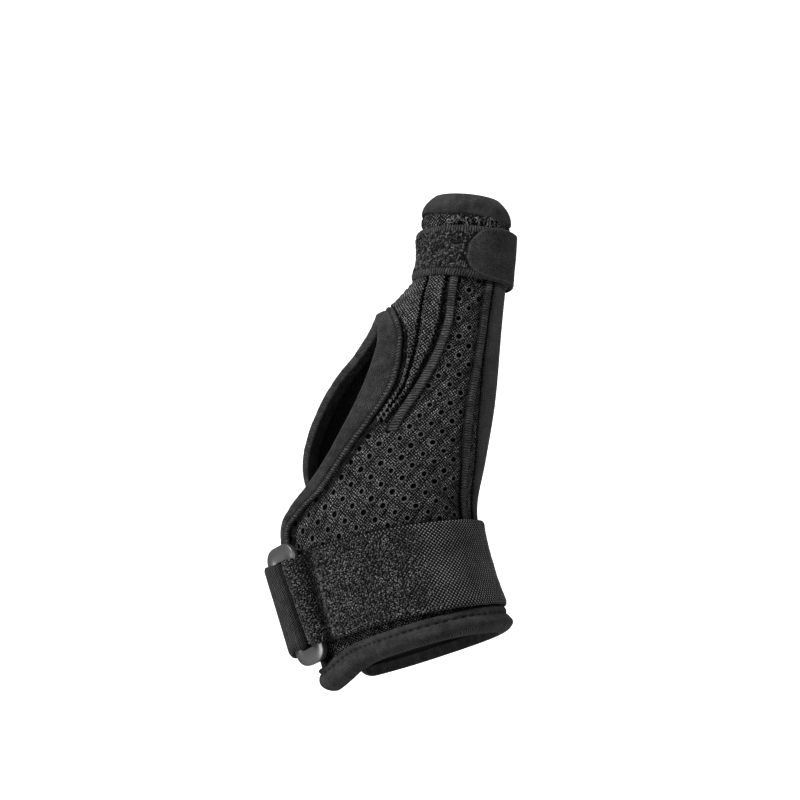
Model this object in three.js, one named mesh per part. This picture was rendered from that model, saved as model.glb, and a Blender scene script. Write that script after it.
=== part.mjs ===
// Thumb spica splint for the left hand, as worn: a padded mesh shell that runs from the
// wrist up one side of the hand and closes into a tube round the thumb.
// Millimetres, +Z from the wrist to the hand, +X to the thumb's side, -Y the back of the hand.
// The origin is the centre of the wrist opening, at the middle of the wrist strap.
import * as THREE from 'three';

// Driving dimensions
const wristBreadth = 64.4;      // inside, across the wrist's long way
const wristDepth = 46;          // inside, across its short way
const wristTurn = -32;          // degrees that the wrist's oval is turned
const thumbBore = 23.0;         // inside diameter at the thumb opening
const cuffDrop = 27;            // from the origin down to the hem
const thumbRise = 127.5;        // from the origin up to the thumb opening
const thumbReach = 61;          // from the origin sideways to the thumb opening
const thumbSet = 11;            // from the origin towards the back of the hand
const thumbLean = 19;           // degrees that the thumb tube leans

const wall = 1.8;               // padded mesh
const tape = 1.0;               // binding tape and sewn tapes
const clear = 0.3;              // between pieces that touch
const seamRoom = 0.8;           // more room for an edge inside its folded tape
const pleatDepth = 1.2;         // raised pleats
const pocketDepth = 1.2;        // stay pocket
const hemWidth = 6.6;           // hem binding
const thumbHemWidth = 5.4;      // binding of the thumb opening
const curvedTapeWidth = 3.0;
const stayTapeWidth = 3.6;

const strapThick = 1.6;         // wrist strap
const strapWidth = 32.2;
const strapSlack = 2.2;         // how much wider the strap is away from the ring
const strapMid = 28.1;          // the strap's middle above the hem, at the ring
const webbingThick = 1.6;       // elastic webbing on the ring
const thumbStrapWidth = 19.2;
const thumbStrapThick = 2.6;    // padded loop
const thumbStrapTop = 10.6;     // below the thumb opening
const tabThick = 1.5;           // hook tab of the thumb strap

const ringLength = 40;
const ringWidth = 14;
const ringThick = 2.5;
const ringBar = 4;              // long bars
const ringEnd = 3.5;            // short ends
const ringCorner = 5;
const ringBevel = 0.5;
const ringTurn = -159.5;         // where the ring's near bar sits round the wrist
const ringFacing = -132;        // the way the ring's face looks, seen from above

const rad = Math.PI / 180;

// Heights above the skin
const shellLow = tape + 2 * clear;
const shellHigh = shellLow + wall;
const overLow = shellHigh + clear;
const overHigh = overLow + tape;
const pocketHigh = overLow + pocketDepth;
const strapFirst = overLow + strapThick / 2;
const strapSecond = strapFirst + strapThick + clear;
const strapOverPocket = pocketHigh + clear + strapThick / 2;
const webbingOverEdge = overHigh + clear + webbingThick / 2;
const ringHeight = strapFirst + strapThick / 2 + clear + ringThick / 2 + 0.25;

// Sections of the hand, from the hem to the thumb opening. Columns: height (share of
// cuffDrop below the origin, of thumbRise above it), reach, set and lean (shares of the
// thumb's), half breadth and half depth (shares of the wrist's and of the thumb's half
// sizes, added), turn (share of the wrist's) and the oval's power.
const sections = [
  { height: -1.0, reach: 0.033, set: -0.18, lean: 0.0, breadth: [1.025, 0], depth: [1.043, 0], turn: 1.0, power: 2.5 },
  { height: 0.0, reach: 0.007, set: -0.18, lean: 0.0, breadth: [1.0, 0], depth: [1.0, 0], turn: 1.0, power: 2.5 },
  { height: 0.165, reach: 0.013, set: -0.09, lean: 0.21, breadth: [1.031, 0], depth: [0.978, 0], turn: 1.0, power: 2.5 },
  { height: 0.345, reach: 0.128, set: 0.09, lean: 0.58, breadth: [1.102, 0], depth: [0.935, 0], turn: 0.94, power: 2.4 },
  { height: 0.502, reach: 0.328, set: 0.36, lean: 0.87, breadth: [0.963, 0], depth: [0.848, 0], turn: 0.81, power: 2.3 },
  { height: 0.706, reach: 0.682, set: 0.73, lean: 1.0, breadth: [0.3, 0.735], depth: [0.2, 0.924], turn: 0.625, power: 2.1 },
  { height: 0.784, reach: 0.821, set: 0.836, lean: 1.0, breadth: [0, 1.16], depth: [0, 1.11], turn: 0.47, power: 2.0 },
  { height: 0.859, reach: 0.902, set: 0.91, lean: 1.0, breadth: [0, 1.025], depth: [0, 1.025], turn: 0.31, power: 2.0 },
  { height: 1.0, reach: 1.0, set: 1.0, lean: 1.0, breadth: [0, 1.0], depth: [0, 1.0], turn: 0.0, power: 2.0 },
];

// A smooth curve through knots at uneven places
function smooth(knots, values, x) {
  const last = knots.length - 1;
  let k = 0;
  while (k < last - 1 && x >= knots[k + 1]) k += 1;
  const step = (i) => (values[i + 1] - values[i]) / (knots[i + 1] - knots[i]);
  const slope = (i) => {
    if (i === 0) return step(0);
    if (i === last) return step(last - 1);
    const before = knots[i] - knots[i - 1];
    const after = knots[i + 1] - knots[i];
    return (step(i - 1) * after + step(i) * before) / (before + after);
  };
  const width = knots[k + 1] - knots[k];
  const t = (x - knots[k]) / width;
  const t2 = t * t;
  const t3 = t2 * t;
  return (2 * t3 - 3 * t2 + 1) * values[k] + (t3 - 2 * t2 + t) * width * slope(k)
    + (3 * t2 - 2 * t3) * values[k + 1] + (t3 - t2) * width * slope(k + 1);
}

// The spine: each section's centre, and its distance along the spine from the hem
const halfSizes = (shares, wrist) => shares[0] * wrist / 2 + shares[1] * thumbBore / 2;
const spine = sections.map((row) => ({
  x: row.reach * thumbReach,
  y: -row.set * thumbSet,
  z: row.height * (row.height < 0 ? cuffDrop : thumbRise),
  lean: row.lean * thumbLean * rad,
  breadth: halfSizes(row.breadth, wristBreadth),
  depth: halfSizes(row.depth, wristDepth),
  turn: row.turn * wristTurn * rad,
  power: row.power,
}));
const along = [0];
for (let i = 1; i < spine.length; i += 1) {
  const a = spine[i - 1];
  const b = spine[i];
  along.push(along[i - 1] + Math.hypot(b.x - a.x, b.y - a.y, b.z - a.z));
}
const length = along[along.length - 1];
const lane = (key, s) => smooth(along, spine.map((row) => row[key]), s);

// The skin that the splint wraps. turn is in degrees from +X towards +Y, s in mm from the hem.
function skin(turn, s) {
  const u = turn * rad;
  const w = u - lane('turn', s);
  const power = lane('power', s);
  const reach = ((Math.abs(Math.cos(w) / lane('breadth', s)) ** power)
    + (Math.abs(Math.sin(w) / lane('depth', s)) ** power)) ** (-1 / power);
  const lean = lane('lean', s);
  return new THREE.Vector3(
    lane('x', s) + reach * Math.cos(u) * Math.cos(lean),
    lane('y', s) + reach * Math.sin(u),
    lane('z', s) - reach * Math.cos(u) * Math.sin(lean),
  );
}

function outward(turn, s) {
  const round = skin(turn + 0.06, s).sub(skin(turn - 0.06, s));
  const up = skin(turn, s + 0.05).sub(skin(turn, s - 0.05));
  return round.cross(up).normalize();
}

// The point at a height above the skin
const at = (turn, s, height) => skin(turn, s).addScaledVector(outward(turn, s), height);

// Degrees of turn that a length takes round the hand at s
function turnOf(mm, turn, s) {
  return mm / skin(turn + 0.5, s).distanceTo(skin(turn - 0.5, s));
}

// A closed body between two grids of points, front and back. Row i is a closed loop
// where joined(i) is true: there its last column is its first.
function shell(front, back, joined = () => false) {
  const rows = front.length;
  const columns = front[0].length;
  const positions = [];
  const number = [[], []];
  [front, back].forEach((grid, side) => {
    for (let i = 0; i < rows; i += 1) {
      number[side].push([]);
      for (let j = 0; j < columns; j += 1) {
        if (joined(i) && j === columns - 1) {
          number[side][i].push(number[side][i][0]);
        } else {
          number[side][i].push(positions.length / 3);
          positions.push(grid[i][j].x, grid[i][j].y, grid[i][j].z);
        }
      }
    }
  });
  const faces = [];
  const quad = (a, b, c, d) => faces.push(a, b, c, a, c, d);
  const [f, g] = number;
  for (let i = 0; i < rows - 1; i += 1) {
    for (let j = 0; j < columns - 1; j += 1) {
      quad(f[i][j], f[i][j + 1], f[i + 1][j + 1], f[i + 1][j]);
      quad(g[i][j], g[i + 1][j], g[i + 1][j + 1], g[i][j + 1]);
    }
    if (!(joined(i) && joined(i + 1))) {
      const n = columns - 1;
      quad(f[i][0], f[i + 1][0], g[i + 1][0], g[i][0]);
      quad(f[i + 1][n], f[i][n], g[i][n], g[i + 1][n]);
    }
  }
  for (let j = 0; j < columns - 1; j += 1) {
    const r = rows - 1;
    quad(f[0][j + 1], f[0][j], g[0][j], g[0][j + 1]);
    quad(f[r][j], f[r][j + 1], g[r][j + 1], g[r][j]);
  }
  // Turn the faces outwards if the grids ran the other way
  let volume = 0;
  const point = (n) => new THREE.Vector3(positions[3 * n], positions[3 * n + 1], positions[3 * n + 2]);
  for (let k = 0; k < faces.length; k += 3) {
    volume += point(faces[k]).dot(point(faces[k + 1]).cross(point(faces[k + 2])));
  }
  if (volume < 0) {
    for (let k = 0; k < faces.length; k += 3) {
      [faces[k + 1], faces[k + 2]] = [faces[k + 2], faces[k + 1]];
    }
  }
  const geometry = new THREE.BufferGeometry();
  geometry.setAttribute('position', new THREE.Float32BufferAttribute(positions, 3));
  geometry.setIndex(faces);
  geometry.computeVertexNormals();
  return geometry;
}

const steps = (count) => Array.from({ length: count + 1 }, (_, i) => i / count);
const mix = (a, b, t) => a + (b - a) * t;
const clamp = THREE.MathUtils.clamp;

// A sheet on the skin: place(p, q) gives turn and s, low(p, q) and high(p, q) its heights
function sheet(rows, columns, place, low, high, joined) {
  const grid = (height) => steps(rows).map((p) => steps(columns).map((q) => {
    const [turn, s] = place(p, q);
    return at(turn, s, height(p, q));
  }));
  return shell(grid(high), grid(low), joined);
}

// A strip of even thickness whose middle runs through a grid of points
function strip(middle, thick) {
  const rows = middle.length - 1;
  const columns = middle[0].length - 1;
  const side = (sign) => middle.map((row, i) => row.map((point, j) => {
    const across = row[Math.min(j + 1, columns)].clone().sub(row[Math.max(j - 1, 0)]);
    const up = middle[Math.min(i + 1, rows)][j].clone().sub(middle[Math.max(i - 1, 0)][j]);
    return point.clone().addScaledVector(across.cross(up).normalize(), sign * thick / 2);
  }));
  return shell(side(1), side(-1));
}

// The rim of the shell's opening, from the hem on the back of the hand, over the web of
// the thumb and down the palm to the hem. Columns: the rim's distance along the spine
// (share of the length) and its turn, then the same for the binding's inner border.
const rimRows = [
  [0.042, -169.5, 0.042, -161],
  [0.064, -171.5, 0.064, -166],
  [0.116, -175.5, 0.116, -168],
  [0.208, -180, 0.208, -169.5],
  [0.270, -182.5, 0.262, -171],
  [0.316, -181, 0.302, -169.5],
  [0.347, -170.5, 0.330, -156],
  [0.379, -156, 0.360, -137],
  [0.416, -144.3, 0.394, -124.4],
  [0.463, -136, 0.440, -111.5],
  [0.512, -131.2, 0.497, -99.8],
  [0.573, -128.9, 0.575, -94.3],
  [0.625, -132.3, 0.642, -103.5],
  [0.677, -141, 0.706, -120.5],
  [0.722, -154, 0.752, -146],
  [0.751, -165, 0.787, -160],
  [0.760, -174, 0.800, -174],
  [0.749, -184, 0.786, -189],
  [0.717, -194, 0.746, -205],
  [0.665, -203, 0.680, -224],
  [0.596, -207, 0.596, -231],
  [0.521, -210, 0.509, -231],
  [0.440, -216, 0.422, -235],
  [0.345, -229, 0.322, -245],
  [0.243, -237, 0.231, -254],
  [0.127, -239, 0.127, -257],
  [0.042, -239, 0.042, -257],
];
const rimAlong = [0];
for (let i = 1; i < rimRows.length; i += 1) {
  const [a, b] = [rimRows[i - 1], rimRows[i]];
  rimAlong.push(rimAlong[i - 1] + skin(a[1], a[0] * length).distanceTo(skin(b[1], b[0] * length)));
}

// The place on the rim's binding: knot counts rows of the table, share runs from rim to border
function rimPlace(knot, share) {
  const k = Math.min(Math.floor(knot), rimRows.length - 2);
  const t = mix(rimAlong[k], rimAlong[k + 1], knot - k);
  const column = (c) => smooth(rimAlong, rimRows.map((row) => row[c]), t);
  return [mix(column(1), column(3), share), mix(column(0), column(2), share) * length];
}
const rimKnots = (perRow) => steps((rimRows.length - 1) * perRow).map((t) => t * (rimRows.length - 1));

// Turn of a line of places at a given s, found between its nearest two points
function turnAt(line, s) {
  for (let i = 1; i < line.length; i += 1) {
    const [a, b] = [line[i - 1], line[i]];
    if ((s - a[1]) * (s - b[1]) <= 0 && a[1] !== b[1]) {
      return mix(a[0], b[0], (s - a[1]) / (b[1] - a[1]));
    }
  }
  return Math.abs(s - line[0][1]) < Math.abs(s - line[line.length - 1][1])
    ? line[0][0] : line[line.length - 1][0];
}

// A line beside the rim: inset mm from it, or at its border
function rimLine(inset) {
  return rimKnots(6).map((knot) => {
    if (inset === 'border') return rimPlace(knot, 1);
    const [u0, s0] = rimPlace(knot, 0);
    const [u1, s1] = rimPlace(knot, 1);
    return rimPlace(knot, inset / skin(u0, s0).distanceTo(skin(u1, s1)));
  });
}
const highest = (line) => line.reduce((best, p, i) => (p[1] > line[best][1] ? i : best), 0);

// The hem's own line: it dips on the back of the hand
const hemRows = [
  [-175, -5.4], [-160, -4.8], [-150, -4.9], [-130, -1.9], [-95, 0.9], [-69, 2.4],
  [-40, 2.3], [0, 1.6], [60, 0.6], [130, 0],
];
const hemShare = cuffDrop / 27;
const hemLine = (turn) => hemShare * smooth(hemRows.map((r) => r[0]), hemRows.map((r) => r[1]), turn);

const edgeInset = tape + clear + seamRoom;
const innerEdge = rimLine(edgeInset);
const webKnot = highest(innerEdge);
const backEdge = innerEdge.slice(0, webKnot + 1);
const palmEdge = innerEdge.slice(webKnot).reverse();
const [webTurn, webAlong] = innerEdge[webKnot];

// Padded mesh shell: open along the outer side of the hand, a tube above the web
function meshBody() {
  const openRows = 18;
  const tubeRows = 6;
  const columns = 38;
  const top = length - edgeInset;
  const fade = hemWidth + 4;
  const rows = [];
  steps(tubeRows).slice(0, -1).forEach((p) => rows.push({ s: mix(top, webAlong, p), tube: true }));
  steps(openRows).forEach((p) => rows.push({ s: webAlong * (1 - p ** 1.5), tube: p === 0 }));
  const grid = (height) => rows.map((row) => steps(columns).map((q) => {
    const left = row.tube ? webTurn : turnAt(backEdge, row.s);
    const right = (row.tube ? webTurn : turnAt(palmEdge, row.s)) + 360;
    const turn = mix(left, right, q);
    const dip = (hemLine(turn) + edgeInset) * Math.max(0, 1 - row.s / fade);
    return at(turn, row.s + dip, height);
  }));
  return shell(grid(shellHigh), grid(shellLow), (i) => rows[i].tube);
}

// A binding tape folded round an edge. place(column, share) runs from the edge (0) to the
// outer leg's border (1); the inner leg stops at innerShare.
function binding(columns, place, legPieces, innerShare, joined) {
  const corner = 0.35 * tape;
  const grid = (outside) => {
    const leg = steps(legPieces).slice(0, -1).map((p) => [1 - p, outside ? overHigh : overLow]);
    const back = outside ? 0 : tape;
    const low = outside ? 0 : tape;
    const high = outside ? overHigh : overLow;
    const nose = [[back + corner, high], [back, high - corner], [back, low + corner], [back + corner, low]];
    return [
      ...leg.map(([share, h]) => ({ share, h })),
      ...nose.map(([inset, h]) => ({ inset, h })),
      { share: innerShare, h: low },
    ];
  };
  const points = (outside) => grid(outside).map((spot) => columns.map((column) => {
    const [u0, s0] = place(column, 0);
    const [u1, s1] = place(column, 1);
    const width = skin(u0, s0).distanceTo(skin(u1, s1));
    const [turn, s] = place(column, spot.share ?? spot.inset / width);
    return at(turn, s, spot.h);
  }));
  return shell(points(true), points(false), () => joined);
}

const edgeBinding = () => binding(rimKnots(2), rimPlace, 4, 0.4, false);

function hemBinding() {
  const from = rimRows[0][1];
  const to = rimRows[rimRows.length - 1][1] + 360;
  const columns = steps(36).map((q) => mix(from, to, q));
  return binding(columns, (turn, share) => [turn, mix(hemLine(turn), hemWidth, share)], 1, 0.8, false);
}

function thumbBinding() {
  const columns = steps(28).map((q) => q * 360);
  return binding(columns, (turn, share) => [turn, length - share * thumbHemWidth], 1, 0.8, true);
}

// Seams and tapes on the shell. Columns: distance along the spine (share of the length),
// then the turns of the groove between the pleats, the groove beside the curved tape,
// the curved tape, the stay tape and the stay pocket's near and far edges.
const seamRows = [
  { along: 0.045, first: -93, second: -88, curved: -84, stay: -28, near: -17, far: 15 },
  { along: 0.265, first: -93, second: -88, curved: -84, stay: -31, near: -19, far: 15 },
  { along: 0.384, first: -93, second: -88, curved: -84, stay: -36.2, near: -26, far: 14 },
  { along: 0.489, first: -93.4, second: -87.7, curved: -79.4, stay: -38.7, near: -31, far: 14 },
  { along: 0.534, first: -91.2, second: -79.9, curved: -75.6, stay: -39, near: -32, far: 15 },
  { along: 0.584, first: -89.5, second: -75.8, curved: -72.3, stay: -38.8, near: -32.6, far: 16 },
  { along: 0.654, first: -95.2, second: -76, curved: -71.4, stay: -38.5, near: -33.5, far: 18 },
  { along: 0.726, first: -105.8, second: -82, curved: -75.6, stay: -39.5, near: -34, far: 21 },
  { along: 0.812, first: -128, second: -97, curved: -90, stay: -43.4, near: -34.9, far: 25 },
  { along: 0.868, first: -140, second: -106, curved: -98, stay: -46, near: -36, far: 27 },
];
const seam = (key, s) => smooth(seamRows.map((r) => r.along * length), seamRows.map((r) => r[key]), s);
const seamTop = 0.862 * length;         // under the thumb strap
const seamFoot = hemWidth + 1.5;        // just above the hem binding
const pleatFoot = 0.486 * length;
const curvedFoot = 0.463 * length;
const grooveHalf = 0.35;                // half the gap between two pleats

const border = rimLine('border');
const backBorder = border.slice(0, highest(border) + 1);
const besideBorder = (s) => {
  const turn = s > backBorder[backBorder.length - 1][1] ? backBorder[backBorder.length - 1][0]
    : turnAt(backBorder, s);
  return turn + turnOf(clear + 0.2, turn, s);
};
const curvedEdge = (s) => {
  const turn = seam('curved', s);
  return Math.min(seam('second', s), turn - turnOf(curvedTapeWidth / 2 + clear, turn, s));
};

// A raised pleat between two seams
function pleat(left, right) {
  const place = (p, q) => {
    const s = mix(pleatFoot, seamTop, p);
    return [mix(left(s), right(s), q), s];
  };
  const high = (p, q) => overLow + pleatDepth * (0.45 + 0.55 * Math.sin(Math.PI * q));
  return sheet(13, 4, place, () => overLow, high);
}
const offset = (key, mm) => (s) => seam(key, s) + turnOf(mm, seam(key, s), s);
const pleatA = () => pleat(besideBorder, (s) => Math.max(offset('first', -grooveHalf)(s),
  besideBorder(s) + turnOf(1.2, besideBorder(s), s)));
const pleatB = () => pleat((s) => Math.max(offset('first', grooveHalf)(s),
  besideBorder(s) + turnOf(1.2 + 2 * grooveHalf, besideBorder(s), s)), curvedEdge);

// A narrow tape sewn along a seam
function seamTape(key, width, foot) {
  const place = (p, q) => {
    const s = mix(foot, seamTop, p);
    return [offset(key, mix(-width / 2, width / 2, q))(s), s];
  };
  return sheet(24, 1, place, () => overLow, () => overHigh);
}

// Flat sleeve down the thumb's outer side
function stayPocket() {
  const place = (p, q) => {
    const s = mix(seamFoot, seamTop, p);
    return [mix(seam('near', s), seam('far', s), q), s];
  };
  const high = (p, q) => overLow + pocketDepth * clamp(0.6 + 4 * Math.min(q, 1 - q), 0, 1);
  return sheet(19, 7, place, () => overLow, high);
}

// The ring's frame: its near bar, the way along its width and the way that it faces
const facing = new THREE.Vector3(Math.cos(ringFacing * rad), Math.sin(ringFacing * rad), 0);
const widthWay = new THREE.Vector3(-facing.y, facing.x, 0);
const strapLevel = strapMid - cuffDrop;
const nearBar = at(ringTurn, along[1], ringHeight).setZ(strapLevel);
const barSpacing = ringWidth - ringBar;
const farBar = nearBar.clone().addScaledVector(widthWay, -barSpacing);

function roundedRectangle(path, width, height, corner) {
  const [x, y] = [width / 2, height / 2];
  path.moveTo(-x + corner, -y);
  path.lineTo(x - corner, -y);
  path.absarc(x - corner, -y + corner, corner, -Math.PI / 2, 0);
  path.lineTo(x, y - corner);
  path.absarc(x - corner, y - corner, corner, 0, Math.PI / 2);
  path.lineTo(-x + corner, y);
  path.absarc(-x + corner, y - corner, corner, Math.PI / 2, Math.PI);
  path.lineTo(-x, -y + corner);
  path.absarc(-x + corner, -y + corner, corner, Math.PI, 1.5 * Math.PI);
  return path;
}

function ring() {
  const outline = roundedRectangle(new THREE.Shape(), ringWidth, ringLength, ringCorner);
  const windowWidth = ringWidth - 2 * ringBar;
  const windowCorner = Math.max(0.6, ringCorner - ringBar);
  outline.holes.push(roundedRectangle(new THREE.Path(), windowWidth, ringLength - 2 * ringEnd, windowCorner));
  const geometry = new THREE.ExtrudeGeometry(outline, {
    depth: ringThick - 2 * ringBevel,
    bevelThickness: ringBevel,
    bevelSize: ringBevel,
    bevelOffset: -ringBevel,
    bevelSegments: 1,
    curveSegments: 3,
  });
  return geometry.translate(0, 0, ringBevel - ringThick / 2);
}

// Points round one of the ring's bars, from its inner side through the window to its
// outer side. toWindow is 1 where the window lies along widthWay and -1 where it lies against it.
function roundBar(bar, toWindow, thick, innerLead, outerLead) {
  const radius = ringThick / 2 + clear + 0.1 + thick / 2;
  const centre = toWindow * (ringBar - ringThick) / 2;
  const spot = (a, b) => bar.clone().addScaledVector(widthWay, a).addScaledVector(facing, b);
  const turnPoints = steps(8).map((t) => {
    const angle = Math.PI * (t - 0.5);
    return spot(centre + toWindow * radius * Math.cos(angle), radius * Math.sin(angle));
  });
  const start = spot(centre - toWindow * innerLead, -radius);
  return [start, ...turnPoints, spot(centre - toWindow * outerLead, radius)];
}

const strapRows = 3;

// Middle surface of a strap: level(s share, turn) gives s, and knots mix places on the skin
// with points round the ring, which stay upright
function strapMiddle(knots, columns, bottom, top) {
  return steps(strapRows).map((p) => {
    const points = knots.map((knot) => {
      if (knot.point) {
        const z = mix(strapLevel - strapWidth / 2, strapLevel + strapWidth / 2, p);
        return knot.point.clone().setZ(z);
      }
      return at(knot.turn, mix(bottom(knot.turn), top(knot.turn), p), knot.height);
    });
    const curve = new THREE.CatmullRomCurve3(points, false, 'centripetal');
    return steps(columns).map((q) => curve.getPoint(q));
  });
}

// Wrist strap: sewn to the shell, through the ring, folded back and round to the palm
function wristStrap() {
  const knots = [];
  for (let turn = -95; turn >= -151; turn -= 7) knots.push({ turn, height: strapFirst });
  roundBar(nearBar, -1, strapThick, 1.0, 3.2).forEach((point) => knots.push({ point }));
  for (let turn = -143; turn <= 80; turn += 5.5) {
    knots.push({ turn, height: mix(strapSecond, strapOverPocket, clamp((turn + 100) / 20, 0, 1)) });
  }
  const middle = strapMid;
  const widen = (turn) => strapSlack * clamp((turn + 150) / 100, 0, 1);
  const bottom = (turn) => middle - strapWidth / 2 - widen(turn);
  const top = () => middle + strapWidth / 2;
  return strip(strapMiddle(knots, 66, bottom, top), strapThick);
}

// Elastic webbing: round the ring's far bar, then round the outer side of the wrist to the palm
function ringWebbing() {
  const knots = [{ turn: -203, height: 3.2 }, { turn: -196, height: 4.6 }];
  roundBar(farBar, 1, webbingThick, 2.5, 2.5).forEach((point) => knots.push({ point }));
  knots.push({ turn: -193, height: 8.6 }, { turn: -203, height: 6.6 });
  for (let turn = -213; turn >= -257; turn -= 5.5) knots.push({ turn, height: webbingOverEdge });
  knots.push({ turn: -262, height: webbingOverEdge - 0.5 }, { turn: -268, height: strapFirst });
  const bottom = () => strapMid - strapWidth / 2;
  const top = () => strapMid + strapWidth / 2;
  return strip(strapMiddle(knots, 42, bottom, top), webbingThick);
}

const thumbStrapMid = length - thumbStrapTop - thumbStrapWidth / 2;
const thumbStrapLow = pocketHigh + clear;
const thumbStrapHigh = thumbStrapLow + thumbStrapThick;

// Padded loop round the thumb tube
function thumbStrap() {
  const place = (p, q) => [q * 360, thumbStrapMid + (p - 0.5) * thumbStrapWidth];
  const high = (p) => thumbStrapHigh - 0.9 * Math.abs(2 * p - 1) ** 3;
  return sheet(4, 28, place, () => thumbStrapLow, high, () => true);
}

// Hook tab over the loop, with a round end on the back of the thumb
function thumbTab() {
  const from = -84;
  const to = 110;
  const roundEnd = 8;
  const place = (p, q) => {
    const turn = mix(from, to, q ** 1.5);
    const fromEnd = (turn - from) / turnOf(1, turn, thumbStrapMid);
    const share = Math.max(0.3, Math.sqrt(1 - Math.max(0, 1 - fromEnd / roundEnd) ** 2.4));
    return [turn, thumbStrapMid + (p - 0.5) * thumbStrapWidth * share];
  };
  const low = thumbStrapHigh + clear;
  return sheet(4, 18, place, () => low, () => low + tabThick);
}

const cloth = (name, geometry, color, roughness) => {
  const material = new THREE.MeshStandardMaterial({ color, roughness, metalness: 0 });
  const mesh = new THREE.Mesh(geometry, material);
  mesh.name = name;
  return mesh;
};

const splint = new THREE.Group();
splint.add(
  cloth('mesh_body', meshBody(), 0x2b2b2d, 0.92),
  cloth('edge_binding', edgeBinding(), 0x303032, 0.85),
  cloth('hem_binding', hemBinding(), 0x303032, 0.85),
  cloth('thumb_binding', thumbBinding(), 0x303032, 0.85),
  cloth('pleat_a', pleatA(), 0x2d2d2f, 0.92),
  cloth('pleat_b', pleatB(), 0x2d2d2f, 0.92),
  cloth('curved_tape', seamTape('curved', curvedTapeWidth, curvedFoot), 0x39393b, 0.8),
  cloth('stay_tape', seamTape('stay', stayTapeWidth, seamFoot), 0x39393b, 0.8),
  cloth('stay_pocket', stayPocket(), 0x2a2a2c, 0.88),
  cloth('wrist_strap', wristStrap(), 0x333335, 0.95),
  cloth('ring_webbing', ringWebbing(), 0x262628, 0.85),
  cloth('thumb_loop_strap', thumbStrap(), 0x303032, 0.95),
  cloth('thumb_hook_tab', thumbTab(), 0x3a3a3c, 0.9),
);

const strapRing = new THREE.Mesh(
  ring(),
  new THREE.MeshStandardMaterial({ color: 0x6a6a6c, roughness: 0.45, metalness: 0.2 }),
);
strapRing.name = 'strap_ring';
const upright = new THREE.Vector3(0, 0, 1);
strapRing.setRotationFromMatrix(new THREE.Matrix4().makeBasis(widthWay, upright, facing));
strapRing.position.copy(nearBar).add(farBar).multiplyScalar(0.5);
splint.add(strapRing);

export default splint;
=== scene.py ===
"""Thumb spica splint, held in the form it takes on the hand: padded mesh, bound edges, pleats, straps and
ring.
"""
import math

import bpy
import numpy as np
from mathutils import Matrix, Vector
from numpy.linalg import norm


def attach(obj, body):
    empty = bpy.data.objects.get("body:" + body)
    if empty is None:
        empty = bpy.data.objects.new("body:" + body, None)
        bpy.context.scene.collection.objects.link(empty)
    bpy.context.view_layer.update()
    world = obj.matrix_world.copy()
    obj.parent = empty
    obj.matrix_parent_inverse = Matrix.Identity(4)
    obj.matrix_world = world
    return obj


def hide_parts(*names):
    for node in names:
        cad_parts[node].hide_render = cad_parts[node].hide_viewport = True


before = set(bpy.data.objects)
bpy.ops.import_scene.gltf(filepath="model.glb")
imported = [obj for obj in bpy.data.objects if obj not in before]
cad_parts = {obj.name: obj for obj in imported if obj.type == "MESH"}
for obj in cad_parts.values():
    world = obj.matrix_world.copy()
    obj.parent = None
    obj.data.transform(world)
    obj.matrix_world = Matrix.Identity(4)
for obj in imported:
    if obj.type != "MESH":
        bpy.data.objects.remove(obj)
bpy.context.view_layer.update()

# Driving sizes of the splint, in millimetres and degrees, as in the part's source
WRIST_BREADTH, WRIST_DEPTH, WRIST_TURN = 64.4, 46.0, -32.0
THUMB_BORE, CUFF_DROP, THUMB_RISE = 23.0, 27.0, 127.5
THUMB_REACH, THUMB_SET, THUMB_LEAN = 61.0, 11.0, 19.0
WALL, TAPE, CLEAR, SEAM_ROOM = 1.8, 1.0, 0.3, 0.8
PLEAT_DEPTH, POCKET_DEPTH, HEM_WIDTH, CURVED_TAPE_WIDTH = 1.2, 1.2, 6.6, 3.0
STRAP_THICK, STRAP_WIDTH, STRAP_SLACK, STRAP_MID, WEBBING_THICK = 1.6, 32.2, 2.2, 28.1, 1.6
THUMB_STRAP_WIDTH, THUMB_STRAP_TOP, TAB_THICK = 19.2, 10.6, 1.5
RING_WIDTH, RING_THICK, RING_BAR, RING_CORNER = 14.0, 2.5, 4.0, 5.0
RING_TURN, RING_FACING = -159.5, -132.0
MM = 0.001

# Heights above the skin
SHELL_LOW = TAPE + 2 * CLEAR
SHELL_HIGH = SHELL_LOW + WALL
OVER_LOW = SHELL_HIGH + CLEAR
OVER_HIGH = OVER_LOW + TAPE
POCKET_HIGH = OVER_LOW + POCKET_DEPTH
STRAP_FIRST = OVER_LOW + STRAP_THICK / 2
STRAP_SECOND = STRAP_FIRST + STRAP_THICK + CLEAR
STRAP_OVER_POCKET = POCKET_HIGH + CLEAR + STRAP_THICK / 2
WEBBING_OVER_EDGE = OVER_HIGH + CLEAR + WEBBING_THICK / 2
RING_HEIGHT = STRAP_FIRST + STRAP_THICK / 2 + CLEAR + RING_THICK / 2 + 0.25

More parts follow.
